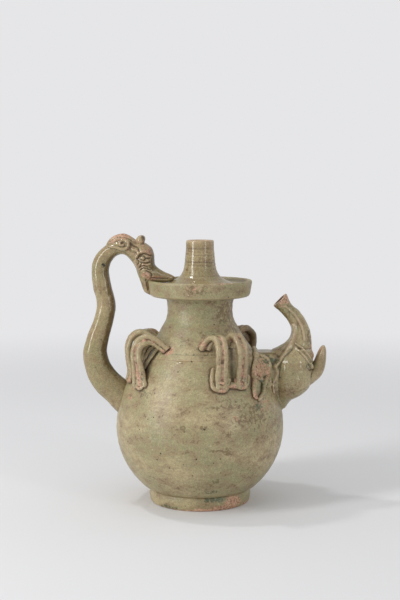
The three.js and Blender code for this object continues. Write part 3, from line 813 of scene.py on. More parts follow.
footMarks = {
    "bare": [
        ((10, -48, 0.5), (22, 16, 2.4), 1.0), ((31, -38, 6), (9, 10, 6.5), 1.0),
        ((20, -46, 3), (9, 8, 3.0), 0.8), ((-12, -48, 0), (26, 16, 1.2), 0.8),
        ((46, -14, 1), (8, 22, 1.6), 0.9), ((0, 46, 1), (40, 12, 2.0), 0.9),
        ((-40, 26, 3), (14, 12, 5), 0.9), ((0, 0, -3), (60, 60, 2.4), 1.0),
    ],
    "pool": [
        ((16, -48, 12), (14, 8, 3.0), 0.7), ((-28, -40, 2), (12, 12, 2.0), 0.6),
        ((22, -44, 2), (5, 8, 3.0), 0.8),
    ],
}


def makeFoot():
    r, h = potSettings["footRadius"], potSettings["footHeight"]
    outer = [(1, 0), (20, 0), (40, 0), (r - 3.4, 0), (r - 2.2, 0.1), (r - 1.4, 0.5), (r - 1.0, 1.4)]
    outer += [tuple(p) for p in smoothLine([(r - 0.9, 2.4), (r - 0.3, 5), (r, 8), (r - 0.2, 10.6)], 11)]
    outer += [(r - 0.5, h - 1.2), (r - 0.6, h - 0.3), (r - 2.6, h + 0.4), (r - 6, h + 0.6)]
    outer += [(20, h + 0.6), (1, h + 0.6)]
    foot = throwOnWheel("ewerFoot", outer)
    turnMarks(foot, wobble=0.5, ridge=0.0, pitch=5, seed=3.1)
    paintMarks(foot, footMarks)
    finishPiece(foot, glazeBody, "celadon_glaze", "foot")


bodyMarks = {
    "bare": [
        ((32.6, -73, 93.6), (3.4, 6, 2.4), 0.56), ((28, -72, 121.5), (7, 8, 4), 0.5),
        ((-66, -34, 112), (6, 12, 9), 0.44), ((-36, -42, 149), (7, 8, 5), 0.7),
        ((60, -50, 104), (8, 14, 8), 0.4),
    ],
    "pool": [
        ((15, -54, 33), (2.6, 10, 3.4), 0.6), ((10, -56, 22), (8, 10, 2.5), 0.5),
        ((-52, -54, 113), (7, 10, 5), 0.42), ((54, -54, 102), (4, 10, 4), 0.6),
        ((42, -60, 20), (12, 20, 2.5), 0.35),
    ],
    # painted shade where the loops meet the wall
    "hollow": [
        ((29.3, -58, 134), (1.4, 18, 12), 0.85), ((-51, -38, 132), (2.2, 14, 7), 0.95),
        ((46.4, -46, 133), (2.0, 14, 12), 0.8),
    ],
    # brown smudges in the glaze, and darker patches below the loops and towards the foot
    "brownAndShade": [
        ((50, -62, 94), (20, 20, 13), 0.52), ((34, -72, 106), (20, 12, 7), 0.45),
        ((14, -74, 104), (12, 8, 1.3), 0.62), ((32, -70, 102.6), (7, 8, 1.2), 0.6),
        ((36, -70, 92), (7, 8, 3.2), 0.55), ((-15.3, -78, 86), (2.4, 6, 3.4), 0.62),
        ((4, -79, 86.6), (4, 6, 2.2), 0.62), ((24, -75, 81), (7, 8, 3), 0.55),
        ((15, -78, 65.2), (8, 6, 1.3), 0.62), ((25, -76, 64), (4.5, 6, 3.6), 0.7),
        ((-12, -78, 64), (4, 6, 2), 0.5), ((14, -66, 34), (4, 8, 3), 0.62),
        ((0, -62, 26), (46, 24, 7), 0.34), ((-42, -60, 34), (18, 16, 5), 0.3),
        ((46, -44, 40), (20, 30, 12), 0.34), ((20, -60, 128), (60, 30, 3), 0.25),
        ((-40, 60, 100), (26, 24, 12), 0.45), ((20, 70, 60), (22, 14, 9), 0.42),
        ((44, 56, 108), (20, 20, 9), 0.45),
    ],
}

# A bead of glaze that ran down to the seam on the side shown
beadSettings = {
    "height": 142.0,
    "thick": 0.8,
    "middle": -15.5,
    "half": 5.2,
    "raised": 0.75,
    "wet": 1.4,
}


def runBead(body):
    s = beadSettings
    coords, normals = coordsOf(body), normalsOf(body)
    bead = np.exp(-(((coords[:, 2] - s["height"]) / s["thick"]) ** 2)) * (coords[:, 1] < 0)
    bead *= np.clip(1.6 - np.abs(coords[:, 0] - s["middle"]) / s["half"], 0, 1)
    setCoords(body, coords + normals * (s["raised"] * bead)[:, None])
    paint(body, "wet", bead * s["wet"])


def makeBody():
    s = potSettings
    foot, start, wall = s["footRadius"], s["footHeight"], s["bodyWall"]
    outer = [(foot - 0.7, start - 0.4), (foot - 0.2, start + 0.2), (foot + 0.8, start + 0.8)]
    outer += [(foot + 2.6, start + 1.6)]
    outer += globeLine(52)
    shoulder = shoulderLine(56)
    outer += [tuple(p) for p in shoulder[1:]]
    outer = groove(outer, s["seamHeight"] - 0.2, 0.7, 0.9)
    inner = [(s["seamRadius"] - wall, s["seamHeight"])]
    inner += [(r - wall, z - 2.5) for r, z in shoulder[-5::-7]]
    inner += [
        ((s["bellyRadius"] - wall) * math.cos(a), s["bellyHeight"] + s["bellyInside"] * math.sin(a))
        for a in np.linspace(-0.1, -0.85, 9)
    ]
    inner += [(30, start + 8.5), (1, start + 8)]
    body = throwOnWheel("ewerBody", [(1, start - 0.4)] + outer + inner)
    turnMarks(body, wobble=0.5, ridge=0.06, pitch=7.5, seed=0.4)
    runBead(body)
    markCreases(body, paleRidge=0.2)
    paintMarks(body, bodyMarks)
    # The side turned from the lamps is browned with painted shade
    paintFacing(body, "brownAndShade", (1, -0.3, 0), low=0.45, high=1.0, strength=0.36)
    finishPiece(body, glazeBody, "celadon_glaze", "body")
    return body


neckMarks = {
    # painted shadow of the dish on the neck below it, and brown patches
    "brownAndShade": [
        ((24, -18, 181), (15, 16, 17), 0.55), ((0, 0, 196), (50, 50, 3.4), 0.42),
        ((8, -38, 168), (9, 14, 6), 0.38), ((30, -30, 154), (12, 16, 4), 0.42),
        ((0, 30, 176), (20, 16, 10), 0.4),
    ],
    "bare": [((-29.8, -38, 151), (5, 9, 4.6), 0.9), ((2, -47, 159), (4, 9, 4), 0.75)],
    # painted shade beside a loop
    "hollow": [((29.3, -40, 150), (1.3, 16, 9), 0.8)],
    "pool": [((-16, -40, 158), (5, 14, 6), 0.3), ((0, -50, 149), (30, 20, 1.0), 0.4)],
}


def makeNeck():
    s = potSettings
    outer = groove([tuple(p) for p in neckLine(76)], 148.4, 0.55, 0.7)
    outer = groove(outer, 144.6, 0.4, 0.7)
    inner = [(r - s["neckWall"], z) for r, z in outer[::-7]]
    inner[-1] = (s["seamRadius"] - 5.2, s["seamHeight"] - 0.3)
    neck = throwOnWheel("ewerNeck", outer + inner + [outer[0]])
    turnMarks(neck, wobble=0.35, ridge=0.06, pitch=6, seed=5.2)
    markCreases(neck, paleRidge=0.2)
    paintMarks(neck, neckMarks)
    # The side turned from the lamps is browned with painted shade
    paintFacing(neck, "brownAndShade", (1, -0.35, 0), low=0.35, high=0.95, strength=0.6)
    finishPiece(neck, glazeBody, "celadon_glaze", "neck")
    return neck


dishMarks = {
    "bare": [
        ((-6, -50, 209.6), (10, 6, 3.4), 0.48), ((-48, -8, 208), (4, 8, 5), 0.4),
        ((24, -44, 214.6), (14, 10, 0.9), 0.5), ((20, 46, 213), (16, 8, 2.4), 0.45),
    ],
    # brown patches, and painted shade on the underside of the dish
    "brownAndShade": [
        ((-4, -50, 208), (14, 8, 6), 0.5), ((0, 0, 198), (60, 60, 2.6), 0.34),
        ((40, -30, 206), (12, 14, 5), 0.4), ((0, 0, 211.4), (34, 34, 2), 0.3),
    ],
    "pool": [((0, 0, 211.5), (46, 46, 1.4), 0.3)],
}


def makeDish():
    r, rim = potSettings["dishRadius"], potSettings["dishRim"]
    profile = [
        (16, rim - 17), (26, rim - 17), (33.4, rim - 17.1), (36, rim - 16.8), (41, rim - 16.3),
        (45, rim - 15.7), (47.0, rim - 15.0), (48.1, rim - 13.6), (48.5, rim - 11.5), (49.0, rim - 8.5),
        (49.5, rim - 5.6), (49.9, rim - 3.2), (r, rim - 1.8), (r - 0.2, rim - 0.7), (r - 0.9, rim - 0.1),
        (r - 1.8, rim), (r - 2.8, rim - 0.3), (r - 3.5, rim - 1.1), (r - 4.2, rim - 2.0),
        (r - 6, rim - 2.8), (r - 9, rim - 3.2), (r - 14, rim - 3.1), (32, rim - 2.6),
        (28, rim - 2.8), (16, rim - 3.6), (16, rim - 10),
    ]
    dish = throwOnWheel("mouthDish", profile + [profile[0]])
    turnMarks(dish, wobble=0.4, ridge=0.05, pitch=4, seed=8.7)
    markCreases(dish, 4, 0.5)
    paintMarks(dish, dishMarks)
    finishPiece(dish, glazeBody, "celadon_glaze", "dish")


tubeMarks = {
    "bare": [((0, 0, 253.8), (16, 16, 0.9), 0.6), ((10, -10, 247), (3, 5, 5), 0.35)],
    "brownAndShade": [((0, 0, 230), (19, 19, 11), 0.42), ((0, 0, 240.4), (16, 16, 1.2), 0.55)],
}


def makeTube():
    r, top = potSettings["tubeRadius"], potSettings["tubeTop"]
    flare = [
        (33.5, 211.6), (28.5, 213.2), (23.6, 215.4), (19.4, 218.6), (17.5, 221.4), (16.2, 224.4),
        (15.5, 227.4), (15.0, 230.6), (14.5, 234.4), (14.2, 238.0),
    ]
    outer = [tuple(p) for p in smoothLine(flare, 30)]
    outer += [(13.9, 239.2), (14.05, 240.4), (13.8, 241.8), (13.5, 243.6), (r, 247), (r, 250.4)]
    for height, depth in ((232.4, 0.3), (228.6, 0.3), (224.8, 0.25)):
        outer = groove(outer, height, depth, 0.6)
    lip = [(r - 0.1, top - 1.0), (r - 0.6, top - 0.25), (r - 1.5, top)]
    lip += [(r - 2.5, top - 0.3), (r - 3.1, top - 1.4)]
    inner = [(r - 3.3, top - 4), (r - 3.2, 236), (r - 2.6, 222), (r - 2.2, 211), (20, 210.6)]
    tube = throwOnWheel("mouthTube", outer + lip + inner + [outer[0]])
    turnMarks(tube, wobble=0.25, ridge=0.05, pitch=3.2, seed=2.2)
    markCreases(tube)
    paintMarks(tube, tubeMarks)
    finishPiece(tube, glazeWarm, "brown_glaze", "mouth_tube")


# Handle that ends in a dragon head: one line of clay from the shoulder over the top and into
# the dish. A form's two edges are points in the XZ plane and its widths run across it; its
# count is how many rings it has.

dragonSettings = {
    "rope": {
        "outer": [
            (-70, 78), (-80.9, 86.6), (-90, 96.6), (-100.5, 106.2), (-108.6, 119.6), (-112.6, 133.5),
            (-113, 146), (-109.4, 160.2), (-102.9, 175.8), (-99.5, 191.3), (-102.7, 206.8),
            (-104.3, 222.3), (-102.7, 233.2), (-98, 241.6), (-91.2, 247.6), (-84, 251.6),
            (-75.5, 253.6), (-66.5, 253.8), (-58.5, 252.2), (-51.6, 250), (-46.2, 245.4),
            (-44, 239.5), (-43.9, 234), (-43.2, 229.2), (-39.3, 225.7), (-34.4, 222.8),
            (-29.5, 220.8), (-25.6, 218.6), (-24.2, 217.1),
        ],
        "inner": [
            (-55, 101), (-62.8, 105.3), (-70.5, 116), (-79.6, 124.2), (-86.2, 132.6), (-89.2, 140.3),
            (-90, 148), (-87.4, 160.2), (-83.5, 175.8), (-81.4, 191.3), (-84.7, 206.8),
            (-87.8, 221.8), (-86.4, 229.4), (-83.6, 234.2), (-80.2, 237.6), (-76.0, 239.3),
            (-71.6, 238.4), (-67.5, 234.8), (-64.1, 230.6), (-61.9, 226.4), (-60.2, 222.3),
            (-58.4, 217.4), (-55.5, 213.8), (-50.5, 212.5), (-44.5, 211.9), (-38.5, 212.1),
            (-32.5, 212.6), (-27, 213.6), (-24.8, 215.2),
        ],
        "widths": [
            27, 27, 25.5, 23.5, 22, 21, 20.3, 19.6, 19, 18.7, 18.4, 18, 18, 18.4, 19, 20, 21.5, 23,
            24.6, 25.2, 25, 23.6, 21, 18, 15, 12, 9, 5.4, 2,
        ],
        "count": 190,
        "boxy": 2.2,
    },
    "crest": {
        "outer": [
            (-93, 244.6), (-90.8, 247.6), (-88, 252.6), (-83, 256.8), (-75, 259.4), (-69.6, 258.5),
            (-65, 255.9), (-60.6, 252.6),
        ],
        "inner": [
            (-90, 241), (-86, 243), (-82, 246), (-77, 248), (-73, 249), (-69, 248), (-65, 247), (-61, 247),
        ],
        "widths": [5, 8.5, 11, 12.5, 13, 12, 10, 6],
        "count": 40,
        "sides": 28,
    },
    "jaw": {
        "outer": [(-62, 227), (-60.2, 221.6), (-56.6, 211.8), (-54.2, 204.4), (-50.6, 201.4), (-46.4, 199.6)],
        "inner": [(-50, 226), (-49, 220), (-48.4, 211), (-47.4, 205.5), (-46, 203.2), (-44.6, 201.8)],
        "widths": [17, 16, 14.5, 12.5, 10, 5],
        "count": 36,
        "sides": 28,
        "boxy": 2.4,
    },
    "earCurl": [
        (-88, 247.2), (-84.8, 246.9), (-78.8, 246.2), (-75.6, 245.2), (-72.2, 244.8), (-68.9, 246.4),
        (-67.7, 249.4), (-70.2, 252.0), (-74.6, 252.1), (-76.5, 249.8), (-74.2, 248.2), (-72.2, 249.4),
    ],
    "earRadius": [0.5, 1.0, 1.25, 1.5, 1.6, 1.6, 1.5, 1.4, 1.3, 1.2, 1.1, 1.1],
    "eye": (-54.5, 235.6),
    "eyeRadius": 2.1,
    "horn": [(-58.8, 249.4), (-57.2, 252.4), (-55.6, 255.2), (-54.4, 257.4)],
    "hornRadius": [4.6, 4.2, 3.8, 3.5],
    "hornSpread": 5.2,
    "voxel": 0.5,
    "smoothing": 5,
    # The nape is cut along a line in the XZ plane, left of cutRight and above cutLow. The head
    # is what lies beyond the cut, and what is right of cutRight and above headLow.
    "cutTop": (-93.7, 246.4),
    "cutBottom": (-80.8, 237.2),
    "cutRight": -77,
    "cutLow": 226,
    "headLow": 196,
}

# Lines of the dragon's face: points, half width, height (negative is pressed in)
dragonStrokes = [
    ([(-58.4, 236.4), (-57.0, 238.9), (-53.8, 240.5), (-51.1, 240.5), (-46.5, 238.5)], 0.7, -0.8),
    ([(-60.8, 237.4), (-58.4, 240.8), (-54.4, 242.6), (-49.8, 242.2)], 1.3, 0.9),
    (
        [(-56.6, 237.8), (-54.7, 238.9), (-52.5, 237.8), (-51.8, 235.5), (-53.7, 234.0), (-56.2, 235.2)],
        0.6, -0.6,
    ),
    ([(-51.1, 236.4), (-48.8, 236.0), (-47.0, 236.4)], 0.6, -0.7),
    ([(-55.7, 232.3), (-51.1, 231.6), (-47.5, 232.3)], 0.7, -0.8),
    ([(-54.5, 230.3), (-51.0, 230.0), (-48.0, 230.4)], 0.9, 0.7),
    ([(-59.8, 236.0), (-58.4, 232.8), (-59.1, 230.5)], 0.6, -0.7),
    ([(-57.5, 232.8), (-55.7, 231.4), (-57.1, 229.1)], 0.6, -0.7),
    ([(-61.6, 234.0), (-60.6, 230.0), (-58.6, 226.6)], 1.0, 0.8),
    ([(-58.4, 226.8), (-55.7, 228.7), (-52.9, 229.1), (-50.2, 227.8), (-49.3, 225.9)], 0.7, -0.8),
    ([(-57.6, 225.8), (-54.8, 227.9), (-51.6, 227.9), (-49.0, 226.4)], 0.7, 0.6),
    ([(-56.6, 225.0), (-54.3, 226.8), (-51.1, 226.4), (-47.5, 225.0)], 0.6, -0.7),
    ([(-51.1, 224.1), (-47.5, 222.3), (-45.7, 220.4), (-46.6, 218.6)], 0.7, -0.7),
    ([(-53.4, 222.6), (-50.0, 220.6), (-47.6, 218.4)], 1.0, 0.6),
    ([(-46.4, 217.2), (-40.0, 216.6), (-31.0, 216.2)], 0.7, -0.6),
    ([(-66.4, 250.4), (-62.8, 248.0), (-59.0, 246.4), (-57.8, 243.4)], 1.0, -0.8),
    ([(-64.0, 244.8), (-60.0, 243.2), (-58.6, 240.6)], 1.2, 0.7),
    ([(-86.5, 252.2), (-81.9, 255.2), (-74.6, 256.2), (-70.1, 255.4), (-65.4, 252.8)], 0.7, -0.6),
    ([(-51.8, 215.6), (-50.6, 209.9), (-49.8, 205.4)], 0.7, -0.5),
]

handleMarks = {
    "brownAndShade": [((-90, -8, 226), (5, 8, 9), 0.5), ((-96, -9, 205), (8, 6, 5), 0.4)],
    "bare": [((-93, 0, 246), (7, 9, 3), 0.5), ((-72, -4, 88), (8, 14, 6), 0.4)],
}

headMarks = {
    "bare": [
        ((-77, 0, 257), (13, 9, 5.6), 0.78), ((-84, -6, 252), (6, 6, 2.5), 0.55),
        ((-84, 6, 252), (6, 6, 2.5), 0.6), ((-63, -6, 252), (4, 6, 2.5), 0.5),
        ((-49, -7, 243), (3.2, 7, 6), 0.62), ((-49, 7, 242), (3.2, 7, 6), 0.55),
        ((-51.5, -9, 220), (4.2, 6, 2.6), 0.95), ((-51.5, 9, 220), (4, 6, 3), 0.8),
        ((-43, -7, 217.6), (6, 6, 1.4), 0.8), ((-55.6, -6, 252), (3, 4, 1.4), 0.5),
        ((-60, 0, 246), (14, 14, 9), 0.46), ((-46, -3, 217.4), (8, 10, 2.2), 0.9),
    ],
    # brown glaze, and painted shade behind the ear curls and round the eye
    "brownAndShade": [
        ((-65.0, -9, 248), (4.6, 6, 5), 1.0), ((-65.0, 9, 248), (4.6, 6, 5), 0.9),
        ((-74, -9, 249.6), (2.6, 5, 2.6), 0.95), ((-74, 9, 249.6), (2.6, 5, 2.6), 0.9),
        ((-55, 0, 231), (9, 16, 8), 0.5), ((-70, 0, 258), (8, 8, 2.4), 0.6),
    ],
    # painted shade in the ear curls and in the holes of the horns
    "hollow": [
        ((-66.4, -9, 249), (2.4, 5, 3), 0.4), ((-66.4, 9, 249), (2.4, 5, 3), 0.4),
        ((-54.4, -8.2, 256), (1.6, 3, 1.7), 0.95), ((-54.4, 8.2, 256), (1.6, 3, 1.7), 0.95),
    ],
}


def makeDragon():
    s = dragonSettings
    parts = [drawClay(form, edgeRings(**s[form])) for form in ("rope", "crest", "jaw")]
    surface = treeOf(parts[0])
    for side in (-1, 1):
        curl = layOn(surface, s["earCurl"], 90, 0.4, side)
        parts.append(rollCoil("earCoil", curl, s["earRadius"]))
        eye = layOn(surface, [s["eye"], s["eye"]], 2, -0.9, side)[0]
        parts.append(pressBall("eyePellet", eye, (s["eyeRadius"],) * 3))
        stub = smoothLine([(x, side * s["hornSpread"], z) for x, z in s["horn"]], 24)
        parts.append(rollCoil("hornStub", stub, s["hornRadius"], 20))
    dragon = workTogether("dragonHandle", parts, s["voxel"], s["smoothing"])
    pressStrokes(dragon, dragonStrokes)
    handMarks(dragon, reach=16, depth=0.5, seed=1)
    handMarks(dragon, reach=5, depth=0.14, seed=2)
    head = splitHead(dragon)
    for piece, marks in ((dragon, handleMarks), (head, headMarks)):
        markCreases(piece)
        # The side turned from the lamps is darkened with painted shade, laid over glaze that runs thicker and
        # browner there
        paintFacing(piece, "brownAndShade", (1, 0, -0.25), low=0.2, high=0.6, strength=0.75)
        paintFacing(piece, "hollow", (1, 0, -0.25), low=0.4, high=0.9, strength=0.5)
        paintMarks(piece, marks)
    finishPiece(dragon, glazeWarm, "brown_glaze", "handle")
    finishPiece(
        head, glazeWarm, "brown_glaze", "dragon_head", "dragon_lower_jaw", "dragon_crest",
        "dragon_horn_near", "dragon_horn_far", "dragon_curl_near", "dragon_curl_far",
        "dragon_eye_near", "dragon_eye_far",
    )
    return dragon


def splitHead(dragon):
    # Cuts the head from the handle at the nape and closes both cuts
    s = dragonSettings
    top, bottom = np.array(s["cutTop"]), np.array(s["cutBottom"])
    slant = bottom - top
    across = unit(np.array((-slant[1], slant[0])))
    choose(dragon)
    dragon.data.vertices.foreach_set("select", np.zeros(len(dragon.data.vertices), dtype=bool))
    centres = rowsOf(dragon.data.polygons, "center") / mm
    near = (centres[:, 0] < s["cutRight"]) & (centres[:, 2] > s["cutLow"])
    dragon.data.polygons.foreach_set("select", near)
    bpy.ops.object.mode_set(mode="EDIT")
    bpy.ops.mesh.select_mode(type="FACE")
    bpy.ops.mesh.bisect(
        plane_co=(top[0] * mm, 0, top[1] * mm), plane_no=(across[0], 0, across[1])
    )
    bpy.ops.mesh.select_all(action="DESELECT")
    bpy.ops.object.mode_set(mode="OBJECT")
    centres = rowsOf(dragon.data.polygons, "center") / mm
    above = (centres[:, [0, 2]] - top) @ across > 0
    beyond = (centres[:, 0] > s["cutRight"]) & (centres[:, 2] > s["headLow"])
    dragon.data.polygons.foreach_set("select", above | beyond)
    bpy.ops.object.mode_set(mode="EDIT")
    bpy.ops.mesh.separate(type="SELECTED")
    bpy.ops.object.mode_set(mode="OBJECT")
    head = [o for o in bpy.context.selected_objects if o != dragon][0]
    head.name = head.data.name = "dragonHead"
    for piece in (dragon, head):
        choose(piece)
        bpy.ops.object.mode_set(mode="EDIT")
        bpy.ops.mesh.select_all(action="SELECT")
        bpy.ops.mesh.fill_holes(sides=0)
        bpy.ops.object.mode_set(mode="OBJECT")
        bpy.ops.object.shade_smooth_by_angle(angle=math.radians(60))
    return head


# Loops of doubled coil between the neck and the shoulder

loopSettings = {
    "half": 3.1,
    # Strands of a front loop and of a rear loop: place across, as a share of half, and radius
    "front": [(-1.0, 2.75), (0.06, 1.5), (1.02, 2.7)],
    "rear": [(-1, 3.25), (1, 3.25)],
    "taper": [0.9, 1, 1, 1, 0.86],
    # The web that joins the strands: how much wider than half, and half its thickness
    "webExtra": 0.4,
    "webThick": 1.35,
    "reach": 26.0,
    "rise": 23.4,
    "drop": 25.0,
    # Shares of the length where a loop has swung over to its foot and where it starts to part
    "swungAt": 0.45,
    "partsAt": 0.62,
    "steps": 96,
    "voxel": 0.45,
    "smoothing": 4,
    # Height above or below the shoulder seam and distance from the wall, as shares
    "line": [
        (0.45, 0.0), (0.64, 0.2), (0.84, 0.43), (0.98, 0.67), (0.96, 0.9), (0.7, 1.0), (0.32, 0.86),
        (-0.08, 0.56), (-0.43, 0.3), (-0.76, 0.115), (-1, 0.07),
    ],
}

# Turns are in degrees from the side shown towards the spout; parting spreads the feet apart
loopPlaces = {
    "loopFrontLeftA": {"node": "lug_front_left_a", "upper": -62, "foot": -74, "rise": 0.98, "parting": 1.0},
    "loopFrontLeftB": {"node": "lug_front_left_b", "upper": -42, "foot": -56.5, "rise": 0.86, "parting": 1.5},
    "loopFrontRightA": {"node": "lug_front_right_a", "upper": 6, "foot": 16.5, "rise": 0.96, "parting": 0.15},
    "loopFrontRightB": {"node": "lug_front_right_b", "upper": 34, "foot": 33.5, "rise": 1, "parting": 0.05},
    "loopRearRightA": {"node": "lug_rear_right_a", "upper": 137, "foot": 134, "rise": 0.82, "parting": 0.3},
    "loopRearRightB": {"node": "lug_rear_right_b", "upper": 156, "foot": 152, "rise": 0.9, "parting": 0.9},
    "loopRearLeftA": {"node": "lug_rear_left_a", "upper": -128, "foot": -123, "rise": 0.72, "parting": 0.5},
    "loopRearLeftB": {"node": "lug_rear_left_b", "upper": -152, "foot": -147, "rise": 0.5, "parting": 0.1},
}

# Extra coils pressed on: points in the XZ plane, how far off the wall they lie, and radius.
# Where no distance is given the points are in space.
footCoils = {
    "loopFrontRightA": [
        (
            [
                (13.0, 138.4), (11.3, 131), (11.2, 124), (14.0, 120), (18.9, 118.6), (23.6, 119.6),
                (26.6, 124.6),
            ],
            1.2, 2.2,
        ),
        ([(15.2, 137), (14.2, 130), (14.2, 124.6), (17, 121.4)], 1.0, 1.9),
        ([(15.2, 129), (16.2, 124.2), (20.6, 121.8), (25.2, 123.6), (27.2, 129)], 3.4, 1.6),
        ([(17.6, 130), (18.6, 126.8), (21.4, 125.2), (24.6, 126.6), (26, 130)], 4.9, 1.4),
        ([(25, 122.8), (31, 121.8), (36.6, 122)], 0.3, 3.4),
    ],
    "loopFrontRightB": [
        ([(32.6, 129), (33.8, 122.6), (38.6, 120.2), (43.2, 122.4), (44.6, 130)], 1.6, 2.1),
        ([(36.4, 130.6), (39.6, 126.4), (42.8, 130.6)], 4.6, 1.4),
    ],
    "loopFrontLeftB": [
        ([(-37.5, 154.6), (-42.3, 149.6), (-46.3, 143.8), (-52.8, 134.4), (-55.5, 129)], 2.6, 1.9),
        ([(-40, 156), (-46.4, 151), (-50.3, 145.4), (-53.4, 139.7), (-55.4, 134)], 4.2, 2.0),
        ([(-43, 158), (-49.6, 153.6), (-53.4, 147), (-55.5, 140)], 7.0, 2.5),
        ([(-50, 159.2), (-56.6, 155.8), (-60.6, 150), (-62, 142)], 17.0, 2.8),
        ([(-62, 124), (-60, 119), (-56, 116.4), (-52.6, 119)], 1.0, 1.8),
    ],
    "loopRearRightA": [
        (
            [(31, 32, 155), (36.5, 37.8, 157.4), (41.7, 43.2, 157.4), (45.2, 46.8, 153), (47, 48.6, 146)],
            None, 4.6,
        ),
    ],
}

# The strap seen flat at the left of the neck: its own line, how far its width slants, so that
# the left edge lies further back, and how narrow it starts, to be whole at a share of its length
strapSettings = {
    "loop": "loopFrontLeftB",
    "line": [
        (-31.0, -37.8, 151.2), (-33.6, -37.0, 153.3), (-38.5, -36.4, 156.8), (-43.2, -36.0, 160.0),
        (-47.5, -36.0, 161.4), (-52.2, -36.2, 160.5), (-57.0, -36.8, 157.2), (-59.4, -37.5, 151.6),
        (-59.7, -38.6, 143.9), (-58.4, -39.6, 135.8), (-57.0, -40.6, 128.6), (-56.2, -42.4, 121.4),
        (-55.8, -43.4, 117.6),
    ],
    "lean": -0.8,
    "narrow": 0.55,
    "widening": 0.45,
    "wideAt": 0.4,
}

# The darkest marks are painted shade in the gaps between loops and wall, and the large browned mark on the
# rear right loop is painted shade as well
loopMarks = {
    "loopFrontLeftA": {"bare": [((-67, -30, 119), (3, 12, 5), 0.8), ((-62, -20, 163), (6, 8, 3), 0.4)]},
    "loopFrontLeftB": {
        "bare": [((-57, -46, 125), (2.4, 12, 7), 0.85), ((-33, -34, 151), (5, 8, 4), 0.55)],
        "pool": [((-53.6, -48, 127), (1.6, 12, 8), 0.5)],
        "brownAndShade": [((-51, -44, 150), (3, 12, 9), 0.4)],
        "hollow": [
            ((-51, -30, 134), (2.4, 10, 6), 0.9), ((-33.5, -30, 149.6), (3, 8, 1.4), 0.9),
            ((-60.5, -27, 151), (5, 5, 9), 0.8),
        ],
    },
    "loopFrontRightA": {
        "bare": [
            ((31.5, -70, 121.4), (5.4, 8, 3.6), 0.95), ((21.6, -75, 127.5), (2.4, 8, 4.6), 0.85),
            ((10.4, -75, 130), (1.4, 8, 7), 0.7), ((4, -46, 158), (4, 10, 4), 0.8),
        ],
        "pool": [((17, -75, 142), (2.6, 8, 9), 0.35)],
    },
    "loopFrontRightB": {
        "bare": [
            ((38, -70, 137), (1.6, 8, 6), 0.95), ((32.4, -66, 126), (2, 8, 8), 0.7),
            ((30, -46, 163), (3, 8, 3), 0.8),
        ],
        "pool": [((40.6, -66, 126), (3.6, 8, 6), 0.85)],
        "brownAndShade": [((45.6, -60, 150), (2, 10, 12), 0.6)],
    },
    "loopRearLeftA": {"bare": [((-46, 45, 161), (8, 14, 4), 0.62)]},
    "loopRearRightA": {
        "brownAndShade": [((56, 50, 156), (20, 20, 16), 0.9)],
        "hollow": [((42, 43, 153), (4, 5, 5), 0.9), ((52, 52, 150), (3, 14, 12), 0.5)],
    },
    "loopRearRightB": {"brownAndShade": [((40, 60, 156), (16, 16, 12), 0.5)]},
}


def standing(turn, radius, height):
    angle = np.radians(turn)
    return np.column_stack((radius * np.sin(angle), -radius * np.cos(angle), height))


def onWall(line, count, out):
    x, z = smoothLine(line, count).T
    reach = wallRadius(z) + out
    return np.column_stack((x, -np.sqrt(np.maximum(reach**2 - x**2, 1)), z))


def makeLoop(name, node, upper, foot, rise, parting):
    s, strap, front = loopSettings, strapSettings, "Front" in name
    t = np.linspace(0, 1, s["steps"])
    share = smoothLine(s["line"], s["steps"])
    lift = np.where(share[:, 0] > 0, s["rise"] * rise, s["drop"])
    height = potSettings["seamHeight"] + share[:, 0] * lift
    swing = np.clip(t / s["swungAt"], 0, 1)
    turn = upper + (foot - upper) * swing**2 * (3 - 2 * swing)
    middle = standing(turn, wallRadius(height) + share[:, 1] * s["reach"], height)
    angle = np.radians(turn)
    across = np.column_stack((np.cos(angle), np.sin(angle), np.zeros(len(t))))
    opened = np.clip((t - s["partsAt"]) / (1 - s["partsAt"]), 0, 1)
    half = s["half"] * (1 + parting * opened**1.6)
    if name == strap["loop"]:
        middle = smoothLine(strap["line"], s["steps"])
        ahead = unit(np.gradient(middle, axis=0))
        across = unit(np.column_stack((ahead[:, 2], strap["lean"] * ahead[:, 2], -ahead[:, 0])))
        half = half * (strap["narrow"] + strap["widening"] * np.clip(t / strap["wideAt"], 0, 1))
    parts = []
    for place, thick in s["front" if front else "rear"]:
        path = middle + across * (place * half)[:, None]
        parts.append(rollCoil("strand", path, thick * np.array(s["taper"]), cut=front))
    web = rollStrip("web", middle, across, half + s["webExtra"], np.full(len(t), s["webThick"]))
    parts.append(web)
    for line, out, radius in footCoils.get(name, []):
        path = smoothLine(line, 60) if out is None else onWall(line, 60, out)
        parts.append(rollCoil("footCoil", path, radius))
    loop = workTogether(name, parts, s["voxel"], s["smoothing"])
    handMarks(loop, reach=9, depth=0.7, seed=len(name) + upper)
    handMarks(loop, reach=3, depth=0.32, seed=len(name) + foot)
    markCreases(loop)
    # Painted shade darkens the loop where it meets the wall
    coords = coordsOf(loop)
    away = np.hypot(coords[:, 0], coords[:, 1]) - wallRadius(coords[:, 2])
    paint(loop, "hollow", 0.9 * np.clip(1.5 - away / 1.6, 0, 1))
    paint(loop, "ridge", np.full(len(coords), 0.3))
    quarter = s["steps"] // 4
    paintLine(loop, "bare", middle[quarter:], 2.8, 0.66)
    paintLine(loop, "bare", middle[-quarter:], 3.6, 0.72)
    paintMarks(loop, loopMarks.get(name, {}))
    finishPiece(loop, glazeCoil, "celadon_glaze", node)
    return loop


# Spout: an elephant head whose raised trunk is the pouring tube

